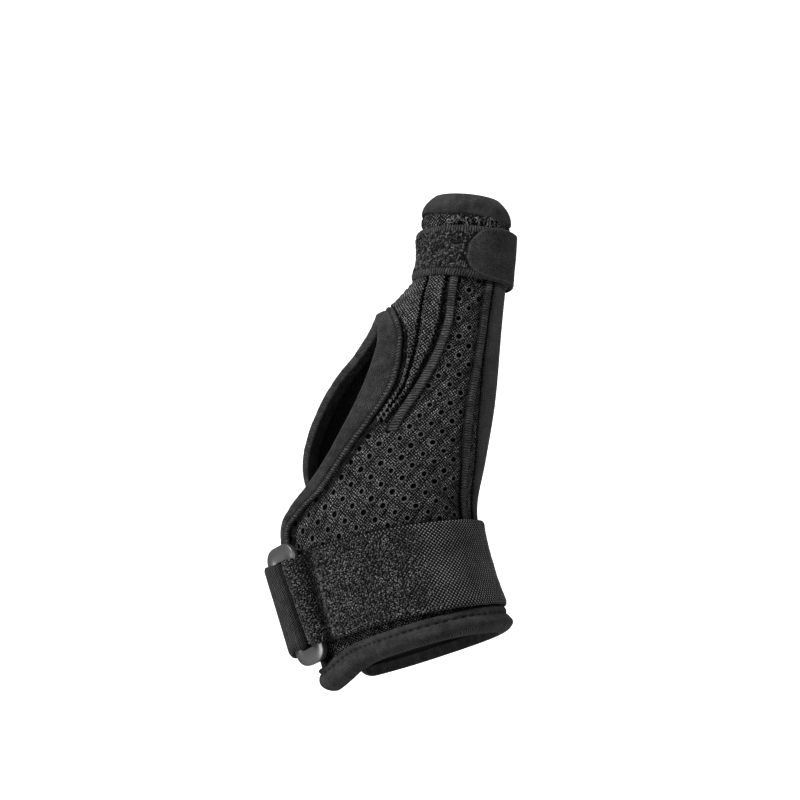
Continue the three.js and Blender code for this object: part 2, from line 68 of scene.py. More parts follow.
# Sections of the hand: height, reach, set, lean, breadth shares, depth shares, turn, power
SECTIONS = np.array([
    [-1.0, 0.033, -0.18, 0.0, 1.025, 0, 1.043, 0, 1.0, 2.5],
    [0.0, 0.007, -0.18, 0.0, 1.0, 0, 1.0, 0, 1.0, 2.5],
    [0.165, 0.013, -0.09, 0.21, 1.031, 0, 0.978, 0, 1.0, 2.5],
    [0.345, 0.128, 0.09, 0.58, 1.102, 0, 0.935, 0, 0.94, 2.4],
    [0.502, 0.328, 0.36, 0.87, 0.963, 0, 0.848, 0, 0.81, 2.3],
    [0.706, 0.682, 0.73, 1.0, 0.3, 0.735, 0.2, 0.924, 0.625, 2.1],
    [0.784, 0.821, 0.836, 1.0, 0, 1.16, 0, 1.11, 0.47, 2.0],
    [0.859, 0.902, 0.91, 1.0, 0, 1.025, 0, 1.025, 0.31, 2.0],
    [1.0, 1.0, 1.0, 1.0, 0, 1.0, 0, 1.0, 0.0, 2.0],
])


def hermite(t, a, b, slope_a, slope_b):
    """The cubic from a to b, with its slopes there, at shares t."""
    start = (1 + 2 * t) * (1 - t) ** 2 * a + t * (1 - t) ** 2 * slope_a
    return start + t * t * (3 - 2 * t) * b + t * t * (t - 1) * slope_b


def smooth(knots, values, x):
    """A smooth curve through knots at uneven places, for many x at once."""
    knots, values = np.asarray(knots, float), np.asarray(values, float)
    gaps, steps = np.diff(knots), np.diff(values) / np.diff(knots)
    inner = (steps[:-1] * gaps[1:] + steps[1:] * gaps[:-1]) / (gaps[:-1] + gaps[1:])
    slopes = np.concatenate([[steps[0]], inner, [steps[-1]]])
    x = np.asarray(x, float)
    k = np.clip(np.searchsorted(knots, x, side="right") - 1, 0, len(knots) - 2)
    t = (x - knots[k]) / gaps[k]
    return hermite(t, values[k], values[k + 1], gaps[k] * slopes[k], gaps[k] * slopes[k + 1])


def run_along(points):
    """The distance of each point from the first, along the line through them."""
    return np.concatenate([[0], np.cumsum(norm(np.diff(points, axis=0), axis=1))])


def pair(a, b):
    return np.stack([a, b], -1)


def bell(x, width):
    """A soft hump round 0, 1 at its top."""
    return np.exp(-(x / width) ** 2)


ROWS = {
    "x": SECTIONS[:, 1] * THUMB_REACH,
    "y": -SECTIONS[:, 2] * THUMB_SET,
    "z": SECTIONS[:, 0] * np.where(SECTIONS[:, 0] < 0, CUFF_DROP, THUMB_RISE),
    "lean": np.radians(SECTIONS[:, 3] * THUMB_LEAN),
    "breadth": (SECTIONS[:, 4] * WRIST_BREADTH + SECTIONS[:, 5] * THUMB_BORE) / 2,
    "depth": (SECTIONS[:, 6] * WRIST_DEPTH + SECTIONS[:, 7] * THUMB_BORE) / 2,
    "turn": np.radians(SECTIONS[:, 8] * WRIST_TURN),
    "power": SECTIONS[:, 9],
}
CENTRES = np.stack([ROWS["x"], ROWS["y"], ROWS["z"]], 1)
ALONG = run_along(CENTRES)
LENGTH = ALONG[-1]
THUMB_STRAP_FOOT = LENGTH - THUMB_STRAP_TOP - THUMB_STRAP_WIDTH
THUMB_STRAP_MID = THUMB_STRAP_FOOT + THUMB_STRAP_WIDTH / 2
PINCH_DEPTH, PINCH_BELOW, PINCH_ABOVE = 2.6, 22, 19     # reaches measured from the strap's foot


def skin(turn, s):
    """Points of the skin: turn in degrees from +X towards +Y, s in mm from the hem."""
    turn, s = np.broadcast_arrays(np.asarray(turn, float), np.asarray(s, float))
    lane = {key: smooth(ALONG, row, s) for key, row in ROWS.items()}
    u = np.radians(turn)
    w, n = u - lane["turn"], lane["power"]
    r = (np.abs(np.cos(w) / lane["breadth"]) ** n + np.abs(np.sin(w) / lane["depth"]) ** n) ** (-1 / n)
    across = r * np.cos(u)
    return np.stack([lane["x"] + across * np.cos(lane["lean"]), lane["y"] + r * np.sin(u),
                     lane["z"] - across * np.sin(lane["lean"])], -1)


def unit(v):
    return v / norm(v, axis=-1, keepdims=True)


def outward(turn, s):
    across = skin(turn + 0.06, s) - skin(turn - 0.06, s)
    return unit(np.cross(across, skin(turn, s + 0.05) - skin(turn, s - 0.05)))


def step(x):
    """A soft step from 0 to 1 as x goes from 0 to 1."""
    x = np.clip(x, 0, 1)
    return x * x * (3 - 2 * x)


def pinch(turn, s):
    """How far the thumb strap draws everything in on the back of the thumb, where it flares."""
    band = step((s - THUMB_STRAP_FOOT + PINCH_BELOW) / 12) * step((THUMB_STRAP_FOOT + PINCH_ABOVE - s) / 16)
    return PINCH_DEPTH * band * np.clip(-np.cos(np.radians(turn)), 0, 1)


def at(turn, s, height):
    lift = np.asarray(height, float) - pinch(turn, s)
    return skin(turn, s) + lift[..., None] * outward(turn, s)


def turn_of(mm, turn, s):
    """Degrees of turn that a length takes round the hand."""
    return mm / norm(skin(turn + 0.5, s) - skin(turn - 0.5, s), axis=-1)


# The rim of the opening: rim's distance and turn, then its binding's inner border
RIM = np.array([
    [0.020, -168.5, 0.020, -159], [0.064, -171.5, 0.064, -166], [0.116, -175.5, 0.116, -168],
    [0.208, -180, 0.208, -169.5], [0.270, -182.5, 0.262, -171], [0.316, -181, 0.302, -169.5],
    [0.347, -170.5, 0.330, -156], [0.379, -156, 0.360, -137], [0.416, -144.3, 0.394, -124.4],
    [0.463, -136, 0.440, -111.5], [0.512, -131.7, 0.497, -99.3], [0.573, -130.5, 0.575, -92.5],
    [0.625, -134.5, 0.642, -101.2], [0.668, -142, 0.697, -117.5], [0.697, -153, 0.730, -137],
    [0.715, -165, 0.752, -157], [0.721, -176, 0.759, -176], [0.719, -188, 0.755, -192],
    [0.706, -198, 0.735, -208], [0.672, -205, 0.685, -224], [0.596, -207, 0.596, -231],
    [0.521, -210, 0.509, -231], [0.440, -216, 0.422, -235], [0.345, -229, 0.322, -245],
    [0.243, -237, 0.231, -254], [0.127, -239, 0.127, -257], [0.042, -239, 0.042, -257],
])
RIM_ALONG = run_along(skin(RIM[:, 1], RIM[:, 0] * LENGTH))


def rim_place(t, share):
    """Turn and s on the rim's binding: t runs 0 to 1 along the rim, share from rim to border."""
    t = np.asarray(t, float) * RIM_ALONG[-1]
    s0, u0, s1, u1 = (smooth(RIM_ALONG, RIM[:, c], t) for c in range(4))
    return u0 + (u1 - u0) * share, (s0 + (s1 - s0) * share) * LENGTH


def rim_width(t):
    (u0, s0), (u1, s1) = rim_place(t, 0), rim_place(t, 1)
    return norm(skin(u0, s0) - skin(u1, s1), axis=-1)


# The hem binding: turn, its lower edge and its upper border
HEM = np.array([
    [-175, -5.2, 3.8], [-161, -4.7, 5.0], [-149, -3.1, 6.8], [-136, -1.0, 8.4], [-120, 0.4, 9.1],
    [-97, 0.9, 9.4], [-82, 1.1, 9.5], [-70, 1.2, 9.5], [-57, 1.2, 9.4], [-43, 1.1, 9.4],
    [-20, 1.0, 9.4], [0, 1.0, 9.2], [60, 0.6, 7.9], [130, 0, 7.1],
])


def hem_line(turn):
    return smooth(HEM[:, 0], HEM[:, 1], turn)


def hem_border(turn):
    return smooth(HEM[:, 0], HEM[:, 2], turn)


EDGE_INSET = TAPE + CLEAR + SEAM_ROOM
ts = np.linspace(0, 1, 601)
inner_u, inner_s = rim_place(ts, EDGE_INSET / rim_width(ts))
web = int(np.argmax(inner_s))
WEB_TURN, WEB_ALONG = inner_u[web], inner_s[web]


def edge_turns(s):
    """The turns between which the shell lies at s: (back of the hand, palm)."""
    back = np.interp(s, inner_s[: web + 1], inner_u[: web + 1])
    palm = np.interp(s, inner_s[web:][::-1], inner_u[web:][::-1]) + 360
    tube = s >= WEB_ALONG
    return np.where(tube, WEB_TURN, back), np.where(tube, WEB_TURN + 360, palm)


# Seams: share along, first groove, second groove, curved tape, stay tape, pocket near and far
SEAMS = np.array([
    [0.045, -93, -88, -84, -28, -17, 15], [0.265, -93, -88, -84, -31, -19, 15],
    [0.384, -93, -88, -84, -36.2, -26, 14], [0.489, -91.5, -87.7, -79.4, -38.7, -31, 14],
    [0.534, -87.5, -79.9, -75.6, -39, -32, 15], [0.584, -84.6, -75.8, -72.3, -38.8, -32.6, 16],
    [0.654, -89.2, -74.5, -71.4, -38.5, -33.5, 18], [0.726, -103, -80, -75.6, -39.5, -34, 21],
    [0.812, -126.5, -96, -90, -43.4, -34.9, 25], [0.868, -138, -105, -98, -46, -36, 27],
])
FIRST, SECOND, CURVED, STAY, NEAR, FAR = range(1, 7)
SEAM_TOP, SEAM_FOOT = 0.862 * LENGTH, HEM_WIDTH + 1.5
PLEAT_FOOT, CURVED_FOOT = 0.486 * LENGTH, 0.463 * LENGTH


def seam(column, s):
    return smooth(SEAMS[:, 0] * LENGTH, SEAMS[:, column], s)


border_u, border_s = rim_place(ts, 1.0)
top = int(np.argmax(border_s))


def border_turn(s):
    return np.interp(s, border_s[: top + 1], border_u[: top + 1])


def beside_border(s):
    return border_turn(s) + turn_of(CLEAR + 0.2, border_turn(s), s)


def curved_edge(s):
    """The curved tape's near edge, or the second groove where that comes first."""
    turn = seam(CURVED, s)
    beside = turn - turn_of(CURVED_TAPE_WIDTH / 2 + CLEAR, turn, s)
    return np.minimum(seam(SECOND, s), beside) - turn_of(CLEAR, turn, s)


# Mesh making


def faces_of(grid, wrap_rows=False, wrap_columns=False):
    """Quads of a grid of vertex numbers."""
    a = np.vstack([grid, grid[:1]]) if wrap_rows else grid
    a = np.hstack([a, a[:, :1]]) if wrap_columns else a
    return np.stack([a[:-1, :-1], a[:-1, 1:], a[1:, 1:], a[1:, :-1]], -1).reshape(-1, 4)


def add_object(name, data):
    obj = bpy.data.objects.new(name, data)
    bpy.context.scene.collection.objects.link(obj)
    return obj


def make_piece(node, slot_name, materials, *bodies):
    """The look of a node: one or more bodies, each of points in mm, faces (an array, or a list of arrays),
    a uv in mm and a tone for each point, and slots. Tone is painted shade and highlight: low for painted
    shade in hollows and gaps, high for painted highlight on crests; on some pieces it also varies at random."""
    groups, slots, start = [], [], 0
    for points, faces, _, _, slot in bodies:
        own = faces if isinstance(faces, list) else [faces]
        groups += [group + start for group in own]
        slots.append(np.broadcast_to(slot, sum(map(len, own))))
        start += len(points)
    points, uv, tone = (np.concatenate([body[k] for body in bodies]) for k in (0, 2, 3))
    mesh = bpy.data.meshes.new(node)
    mesh.from_pydata((points * MM).tolist(), [], [face for group in groups for face in group.tolist()])
    loops = np.concatenate([group.reshape(-1) for group in groups])
    mesh.uv_layers.new(name="cloth").data.foreach_set("uv", uv.astype(np.float32)[loops].reshape(-1))
    # The tone attribute carries painted shade and highlight to the materials.
    mesh.attributes.new("tone", "FLOAT", "POINT").data.foreach_set("value", tone.astype(np.float32))
    mesh.validate()
    mesh.shade_smooth()
    for material in materials:
        mesh.materials.append(material)
    mesh.polygons.foreach_set("material_index", np.concatenate(slots).astype(np.int32))
    obj = add_object(node + "_look", mesh)
    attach(obj, "root")
    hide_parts(node)
    return obj


def faced(points, quads):
    """The quads of a closed body, turned outwards if they run the other way."""
    a, b, c, d = (points[quads[:, k]] for k in range(4))
    volume = np.einsum("ij,ij->", a, np.cross(b, c)) + np.einsum("ij,ij->", a, np.cross(c, d))
    return quads[:, ::-1] if volume < 0 else quads


def slab(front, back, uv, tone, joined=False):
    """The closed body between two grids of points, which may join up round a tube."""
    n = front.shape[0] * front.shape[1]
    f = np.arange(n).reshape(front.shape[:2])
    g = f + n
    parts = [faces_of(f, wrap_columns=joined), faces_of(g, wrap_columns=joined)[:, ::-1]]
    edges = [(f[0], g[0], 1), (f[-1], g[-1], -1)]
    if joined:
        edges = [(np.append(a, a[0]), np.append(b, b[0]), way) for a, b, way in edges]
    else:
        edges += [(f[:, 0], g[:, 0], -1), (f[:, -1], g[:, -1], 1)]
    for a, b, way in edges:
        parts.append(np.stack([a[:-1], b[:-1], b[1:], a[1:]], -1)[:, ::way])
    points = np.concatenate([front.reshape(-1, 3), back.reshape(-1, 3)])
    twice = [np.concatenate([v] * 2) for v in (uv.reshape(-1, 2), tone.reshape(-1))]
    return points, faced(points, np.concatenate(parts)), *twice, 0


def grid(rows, columns, joined=False):
    """Shares p down the rows and q across the columns, which may join up round a tube."""
    across = np.arange(columns) / columns if joined else np.linspace(0, 1, columns)
    return np.meshgrid(np.linspace(0, 1, rows), across, indexing="ij")


def from_sides(p, width):
    """Distance from the nearer side, at share p of a width."""
    return np.minimum(p, 1 - p) * width


def ripple(x, pitch):
    """A rounded rib profile, 0 to 1, every pitch."""
    return np.abs(np.sin(np.pi * x / pitch)) ** 0.7


def bilinear(table, i, j):
    """Values or vectors of a table at rows i and columns j, which needn't be whole."""
    i0, j0 = np.floor(i).astype(int), np.floor(j).astype(int)
    di, dj = i - i0, j - j0
    if table.ndim == 3:
        di, dj = di[..., None], dj[..., None]
    rows, columns = table.shape[:2]
    low, high = (table[k % rows, j0 % columns] * (1 - dj) + table[k % rows, (j0 + 1) % columns] * dj
                 for k in (i0, i0 + 1))
    return low * (1 - di) + high * di


def noise(x, y, seed):
    """Smooth noise from -1 to 1 on a unit lattice."""
    table = np.random.default_rng(seed).uniform(-1, 1, (64, 64))
    return bilinear(table, *(np.floor(v) + step(v - np.floor(v)) for v in (x, y)))


# Materials


def grey(level):
    return level, level, level, 1


class Shading:
    """A new material, whose nodes are made and linked in one call each."""

    def __init__(self, name):
        self.material = bpy.data.materials.new(name)
        self.material.use_nodes = True
        self.tree = self.material.node_tree

    def fill(self, node, inputs):
        """Link outputs to a node's inputs, or set the constants there."""
        for key, value in inputs.items():
            if isinstance(value, bpy.types.NodeSocket):
                self.tree.links.new(value, node.inputs[key])
            else:
                node.inputs[key].default_value = value

    def node(self, kind, inputs=None, **settings):
        node = self.tree.nodes.new("ShaderNode" + kind)
        for key, value in settings.items():
            setattr(node, key, value)
        self.fill(node, inputs or {})
        return node.outputs

    def math(self, operation, *values):
        return self.node("Math", dict(enumerate(values)), operation=operation)[0]

    def noise(self, place, scale, detail, output="Fac"):
        return self.node("TexNoise", {"Scale": scale, "Detail": detail, "Vector": place})[output]

    def spread(self, value, low, high, to_low=0.0, to_high=1.0):
        return self.node("MapRange", {0: value, 1: low, 2: high, 3: to_low, 4: to_high})[0]

    def mix(self, share, dark, light):
        return self.node("Mix", {0: share, 6: grey(dark), 7: grey(light)}, data_type="RGBA")[2]

    def pattern(self, kind, pitch, place):
        """The height, 0 to 1, of a cloth's finest structure."""
        if kind == "pile":
            cells = self.node("TexVoronoi", {"Scale": 1 / pitch, "Vector": place})
            return self.math("SUBTRACT", 1.0, cells["Distance"])
        x, y, _ = self.node("SeparateXYZ", {0: place})

        def wave(value):
            swing = self.math("SINE", self.math("MULTIPLY", value, 2 * math.pi / pitch))
            return self.math("ADD", self.math("MULTIPLY", swing, 0.5), 0.5)

        if kind in ("rib_x", "rib_y"):
            return wave(x if kind == "rib_x" else y)
        rising = wave(self.math("ADD", x, y))
        if kind == "twill":
            return rising
        return self.math("MULTIPLY", rising, wave(self.math("SUBTRACT", x, y)))

    def surface(self, colour, height, bump, depth, constants):
        """Join a colour and a bump, depth mm deep, to the shader and set its constants."""
        rise = self.node("Bump", {"Strength": bump, "Distance": depth * MM, "Height": height})[0]
        self.fill(self.tree.nodes["Principled BSDF"], {"Base Color": colour, "Normal": rise, **constants})
        return self.material


def cloth(name, dark, light, kind, pitch, bump, span=(0.15, 0.75), stray=0.3, sheen=0.02, rough=0.8,
          fibre=0.2, shine=0.07, patchy=0.1):
    """A woven or knitted cloth: a slightly uneven pattern in mm along its uv, with painted shade in the
    hollows and painted highlight on the yarn, fibre noise, slow patches and the tone of its mesh, which is
    painted shade and highlight."""
    kit = Shading(name)
    uv = kit.node("UVMap", uv_map="cloth")[0]
    drift = {0: kit.noise(uv, 0.7, 1.0, "Color"), 1: (stray, stray, 0), 2: uv}
    place = kit.node("VectorMath", drift, operation="MULTIPLY_ADD")[0]
    fibres = kit.math("MULTIPLY", kit.noise(uv, 1.7, 4.0), fibre)
    height = kit.math("ADD", kit.pattern(kind, pitch, place), fibres)
    # Painted shade in the pattern's hollows and painted highlight on its yarn.
    colour = kit.mix(kit.spread(height, span[0] + fibre / 2, span[1] + fibre / 2), dark, light)
    brightness = kit.spread(kit.noise(uv, 0.11, 2.0), 0.3, 0.7, 0.75, 1.25)
    uneven = kit.spread(kit.noise(uv, 0.33, 2.0), 0.35, 0.65, 1 - patchy, 1 + patchy)
    # The mesh's tone attribute adds its painted shade and highlight.
    tone = kit.node("Attribute", attribute_name="tone")["Fac"]
    for factor in (kit.math("MULTIPLY", brightness, uneven), tone):
        colour = kit.node("VectorMath", {0: colour, "Scale": factor}, operation="SCALE")[0]
    return kit.surface(colour, height, bump, 0.3 * pitch, {
        "Roughness": rough, "Specular IOR Level": shine, "Sheen Weight": sheen, "Sheen Roughness": 0.5})


def satin(name, level):
    """Moulded satin plastic with fine grain and slow tone changes."""
    kit = Shading(name)
    place = kit.node("TexCoord")["Object"]
    colour = kit.mix(kit.noise(place, 120, 2.0), level * 0.85, level * 1.15)
    return kit.surface(colour, kit.noise(place, 2600, 3.0), 0.12, 0.05, {"Roughness": 0.3, "Metallic": 0.6})


KNIT = cloth("mesh_knit", 0.0012, 0.185, "dots", 1.26, 1.0, (0.24, 0.76), stray=1.3, patchy=0.5)
LIP = cloth("punched_lip", 0.014, 0.085, "pile", 0.5, 0.6)
# Near-black floor of the holes: painted shade.
HOLE_SHADE = cloth("painted_hole_shade", 0.0008, 0.003, "pile", 0.6, 0.3, sheen=0.0, shine=0.02)
LINING = cloth("inner_knit", 0.003, 0.03, "dots", 1.0, 0.5)
PLEAT = cloth("pleat_knit", 0.0015, 0.200, "dots", 1.36, 1.0, (0.20, 0.74), stray=1.0, patchy=0.4)
BINDING = cloth("binding_cloth", 0.004, 0.044, "twill", 0.62, 0.9, (0.05, 0.95), stray=0.9, sheen=0.05,
                fibre=1.1, patchy=0.3)
CORD = cloth("ribbed_cord", 0.007, 0.056, "rib_x", 0.95, 0.8, (0.1, 0.9), stray=1.2, fibre=0.9, patchy=0.3)
RIBBED = cloth("ribbed_tape", 0.006, 0.062, "rib_y", 1.0, 0.8, (0.0, 0.9), stray=1.2, fibre=0.7,
               sheen=0.04, patchy=0.3)
TWILL = cloth("pocket_twill", 0.006, 0.055, "twill", 0.8, 0.6, (0.1, 0.9), sheen=0.04)
WEAVE = cloth("strap_weave", 0.0012, 0.215, "dots", 1.42, 1.0, (0.18, 0.7), stray=0.25)
LOOPS = cloth("loop_yarn", 0.010, 0.160, "pile", 0.4, 0.5, (0.2, 0.9), sheen=0.05)
THREAD = cloth("bright_thread", 0.05, 0.17, "pile", 0.4, 0.4, (0.1, 0.9))
GROUND = cloth("pile_ground", 0.0012, 0.012, "pile", 0.6, 0.5)
WEBBING = cloth("elastic_rib", 0.006, 0.048, "twill", 0.85, 0.6, (0.1, 0.9), stray=0.5, fibre=0.5)
FELT = cloth("hook_felt", 0.012, 0.040, "pile", 0.36, 0.6, (0.2, 0.9), sheen=0.05, rough=0.9)
RING_SATIN = satin("ring_satin", 0.10)

# The mesh shell: a smooth padded core, and an outer mesh face with its punched holes
HOLE_ROW = 3.82         # between two rows of holes, and half the way between two holes in a row
HOLE_RADIUS = 1.0
THUMB_BAND = 6.1        # how far the thumb's binding reaches down from the shell's end
THUMB_RISE_SEEN = 1.7   # how far its padding stands up past it
RIM_RADIUS = 1.52
LIP_RADIUS = 1.28
FACE_DEPTH = 0.75       # how deep the holes go
SIDES = 12
LATTICE_TURN = math.radians(10)
HOLES_FROM, HOLES_TO = 13.0, LENGTH - 8         # the hem and the thumb's binding have none
FACE_FROM, FACE_TO, FACE_REACH = -9.0, LENGTH - EDGE_INSET - 0.3, 140.0
REFERENCE_TURN = -38.0  # flat distances across the cloth are measured from the stay tape

table_s = np.arange(-8, LENGTH + 6, 1.0)
table_turn = np.arange(-190, 212, 1.0)
outer = at(table_turn[None, :], table_s[:, None], SHELL_HIGH)
table_x = np.concatenate([np.zeros((len(table_s), 1)),
                          np.cumsum(norm(np.diff(outer, axis=1), axis=2), axis=1)], axis=1)
table_x -= np.array([np.interp(REFERENCE_TURN, table_turn, row) for row in table_x])[:, None]
FLAT_X = np.arange(math.floor(table_x.min()), math.ceil(table_x.max()) + 1, 1.0)
FLAT_TURN = np.array([np.interp(FLAT_X, row, table_turn) for row in table_x])


def row_of(table, value):
    """Where a value lies in an even table of whole millimetres or degrees, as a row that may be split."""
    return np.clip(value - table[0], 0, len(table) - 1.001)


def flat_turn(x, y):
    """Turn of a place on the flat cloth, x mm from the reference line and y mm above the hem."""
    return bilinear(FLAT_TURN, row_of(table_s, y), row_of(FLAT_X, x))


def flat_x(turn, y):
    """The flat cloth's x of a turn at y."""
    return bilinear(table_x, row_of(table_s, y), row_of(table_turn, turn))


def mesh_core():
    """The padded core and its lining, closed round the thumb above the web."""
    s_rows = np.concatenate([np.linspace(LENGTH - EDGE_INSET, WEB_ALONG, 20)[:-1],
                             WEB_ALONG * (1 - np.linspace(0, 1, 52) ** 1.5)])[:, None]
    left, right = edge_turns(s_rows)
    turn = left + (right - left) * np.linspace(0, 1, 91)
    s = s_rows + (hem_line(turn) + EDGE_INSET) * np.clip(1 - s_rows / (HEM_WIDTH + 4), 0, None)
    front = at(turn, s, SHELL_HIGH - FACE_DEPTH - 0.35)
    back = at(turn, s, SHELL_LOW + 0.12 * noise(turn / 9, s / 6, 3))
    return *slab(front, back, pair(flat_x(turn, s), s), np.ones(s.shape))[:4], 1


def mesh_face():
    """The outer mesh face, of closed diamond cells: each has a punched hole with a raised lip. Slots
    are 0 for the knit, 1 for the lining, 2 for a lip and 3 for a hole's floor, which is near-black painted
    shade."""
    row, column = np.meshgrid(np.arange(-45, 65), np.arange(-30, 30), indexing="ij")
    flat = pair((2 * column + row % 2) * HOLE_ROW, row * HOLE_ROW).reshape(-1, 2)
    ct, st = math.cos(LATTICE_TURN), math.sin(LATTICE_TURN)
    x, s = (flat @ np.array([[ct, st], [-st, ct]])).T
    on_cloth = (s > FACE_FROM) & (s < FACE_TO) & (np.abs(x) < FACE_REACH)
    x, s = x[on_cloth], s[on_cloth]
    turn = flat_turn(x, s)
    left, right = edge_turns(np.clip(s, 0, None))
    keep = (turn > left) & (turn < right) & (s > hem_line(np.clip(turn, *HEM[[0, -1], 0])) + EDGE_INSET)
    keep &= np.abs(x - flat_x(turn, s)) < 0.5
    x, s, turn, left, right = (v[keep] for v in (x, s, turn, left, right))
    mm = turn_of(1.0, turn, s)
    near = 0.75 * HOLE_ROW * mm
    holed = (turn > left + near) & (turn < right - near) & (s > HOLES_FROM) & (s < HOLES_TO)
    holed &= ~((s > PLEAT_FOOT - 2) & (turn < seam(CURVED, s) + 1.3 * mm) & (turn > WEB_TURN - 40))
    holed &= ~((turn > seam(STAY, s) - 2.2 * mm) & (turn < seam(FAR, s) + 3 * mm))
    # One cell's rings, as radius and height: underside and boundary diamonds, lip, hole edge and floor
    angles = np.arange(SIDES) / SIDES * 2 * np.pi
    diamond = HOLE_ROW / (np.abs(np.cos(angles)) + np.abs(np.sin(angles)))
    c, d = np.cos(angles + LATTICE_TURN), np.sin(angles + LATTICE_TURN)
    rings = [(diamond, -FACE_DEPTH - 0.3), (diamond, 0.0), (RIM_RADIUS, 0.0), (LIP_RADIUS, 0.24),
             (HOLE_RADIUS, 0.06), (HOLE_RADIUS - 0.14, -FACE_DEPTH + 0.1)]
    rng = np.random.default_rng(11)
    places, caps, quads, bases, cap_slots, quad_slots, count = [], [], [], [], [], [], 0
    for cx, cy, hole in zip(x, s, holed):
        size = rng.uniform(0.86, 1.1) if hole else 1.0
        wobble = rng.uniform(-0.2, 0.2, 2) if hole else np.zeros(2)
        squash = rng.uniform(0.92, 1.08)
        own = rings if hole else rings[:2]
        for k, (radius, h) in enumerate(own):
            grow, wide, move = (size, squash, wobble) if k > 1 else (1.0, 1.0, (0, 0))
            places.append(np.stack([cx + radius * grow * c * wide + move[0],
                                    cy + radius * grow * d / wide + move[1], np.full(SIDES, h)], -1))
        places.append(np.array([[cx + wobble[0], cy + wobble[1], h]]))
        ids = count + np.arange(len(own) * SIDES).reshape(-1, SIDES)
        middle = count + ids.size
        count = middle + 1
        quads.append(faces_of(ids, wrap_columns=True))
        caps.append(np.stack([ids[-1], np.roll(ids[-1], -1), np.full(SIDES, middle)], -1))
        bases.append(ids[0][::-1])
        quad_slots.append(np.repeat([1, 0, 2, 2, 3] if hole else [1], SIDES))
        cap_slots.append(np.full(SIDES, 3 if hole else 0))
    faces = [np.concatenate(caps), np.concatenate(quads), np.array(bases)]
    return np.concatenate(places).T, faces, np.concatenate([*cap_slots, *quad_slots, np.ones(len(bases))])


def collar_lift(s):
    """The soft bulge of the mesh between the thumb strap and the thumb's binding."""
    return 1.5 * step((s - LENGTH + 11.5) / 3) * step((LENGTH - THUMB_BAND + 0.6 - s) / 1.0)


def painted_shade(turn, s):
    """Painted shade in the gaps beside the binding, the pleats and the tapes, along and under the wrist
    strap, and in the band between the thumb strap and the thumb's binding: 1 in the open.
    """
    mm = 1 / turn_of(1.0, turn, s)

    def dip(line, near, far, depth):
        d = (turn - line) * mm
        return 1 - depth * step((d + near) / 0.9) * step((far - d) / 0.9)

    high = s > CURVED_FOOT
    shade = dip(border_turn(s), 1.0, 3.6, 0.97)
    shade = shade * np.where(high & (s < SEAM_TOP), dip(seam(CURVED, s), 3.4, 2.9, 0.8), 1)
    shade = shade * np.where(s < SEAM_TOP + 3, dip(seam(STAY, s), 2.9, 3.4, 0.75), 1)
    # Painted shade along the wrist strap's edges and under it.
    half = STRAP_WIDTH / 2 + 1.7
    low_edge = STRAP_MID - half + 0.8 - STRAP_SLACK * step((turn + 100) / 70)
    under = step((STRAP_MID + half - s) / 1.1) * step((s - low_edge) / 1.1)
    shade = shade * (1 - 0.8 * under)
    # Painted shade in the band between the thumb strap and the thumb's binding.
    collar = step((s - LENGTH + 11.5) / 1.5) * step((turn + 114) / 4) * step((30 - turn) / 10)
    return shade * (1 - 0.75 * collar)


def build_mesh_body():
    (x, y, h), faces, slots = mesh_face()
    y = np.clip(y, None, FACE_TO + 0.5)
    turn = np.clip(flat_turn(x, y), *edge_turns(np.clip(y, 0, None)))
    y = np.maximum(y, hem_line(turn) + EDGE_INSET)
    swell = 0.16 * noise(x / 7, y / 7, 5) + 0.05 * noise(x / 2.2, y / 2.2, 6)
    points = at(turn, y, SHELL_HIGH - 0.16 + h + swell * 0.8 + collar_lift(y))
    # The face's tone is painted shade.
    face = (points, faces, pair(x, y), painted_shade(turn, y), slots)
    rng = np.random.default_rng(23)
    count = 80
    spots = LENGTH - rng.uniform(6.9, 10.2, count)
    stray = threads(rng, rng.uniform(-112, -30, count), spots, SHELL_HIGH + 1.3,
                    np.radians(rng.uniform(10, 170, count)), length=1.7, thickness=0.17,
                    tone=rng.uniform(0.5, 1.3, count), slot=4)
    return make_piece("mesh_body", "padded_mesh", [KNIT, LINING, LIP, HOLE_SHADE, THREAD], mesh_core(), face, stray)


def fold_profile(width, nose, inner, count, bow):
    """Inset and height along a folded tape, from its outer border round the edge, which bows in
    over the length of the nose, to the inner leg's end: the outside, and the inside that backs it."""
    corner = 0.7
    quarter = math.pi / 2
    outside = [(e, OVER_HIGH) for e in np.linspace(width, nose, count)]
    for a in np.linspace(0, quarter, 12)[1:]:
        outside.append((nose * (1 - math.sin(a)), corner + (OVER_HIGH - corner) * math.cos(a) ** bow))
    for a in np.linspace(0, quarter, 5)[1:]:
        outside.append((corner * (1 - math.cos(a)), corner * (1 - math.sin(a))))
    outside = np.array(outside + [(e, 0.0) for e in np.linspace(corner, inner, 5)[1:]])
    slope = np.gradient(outside, axis=0)
    return outside, outside + unit(pair(-slope[:, 1], slope[:, 0])) * TAPE * 0.9


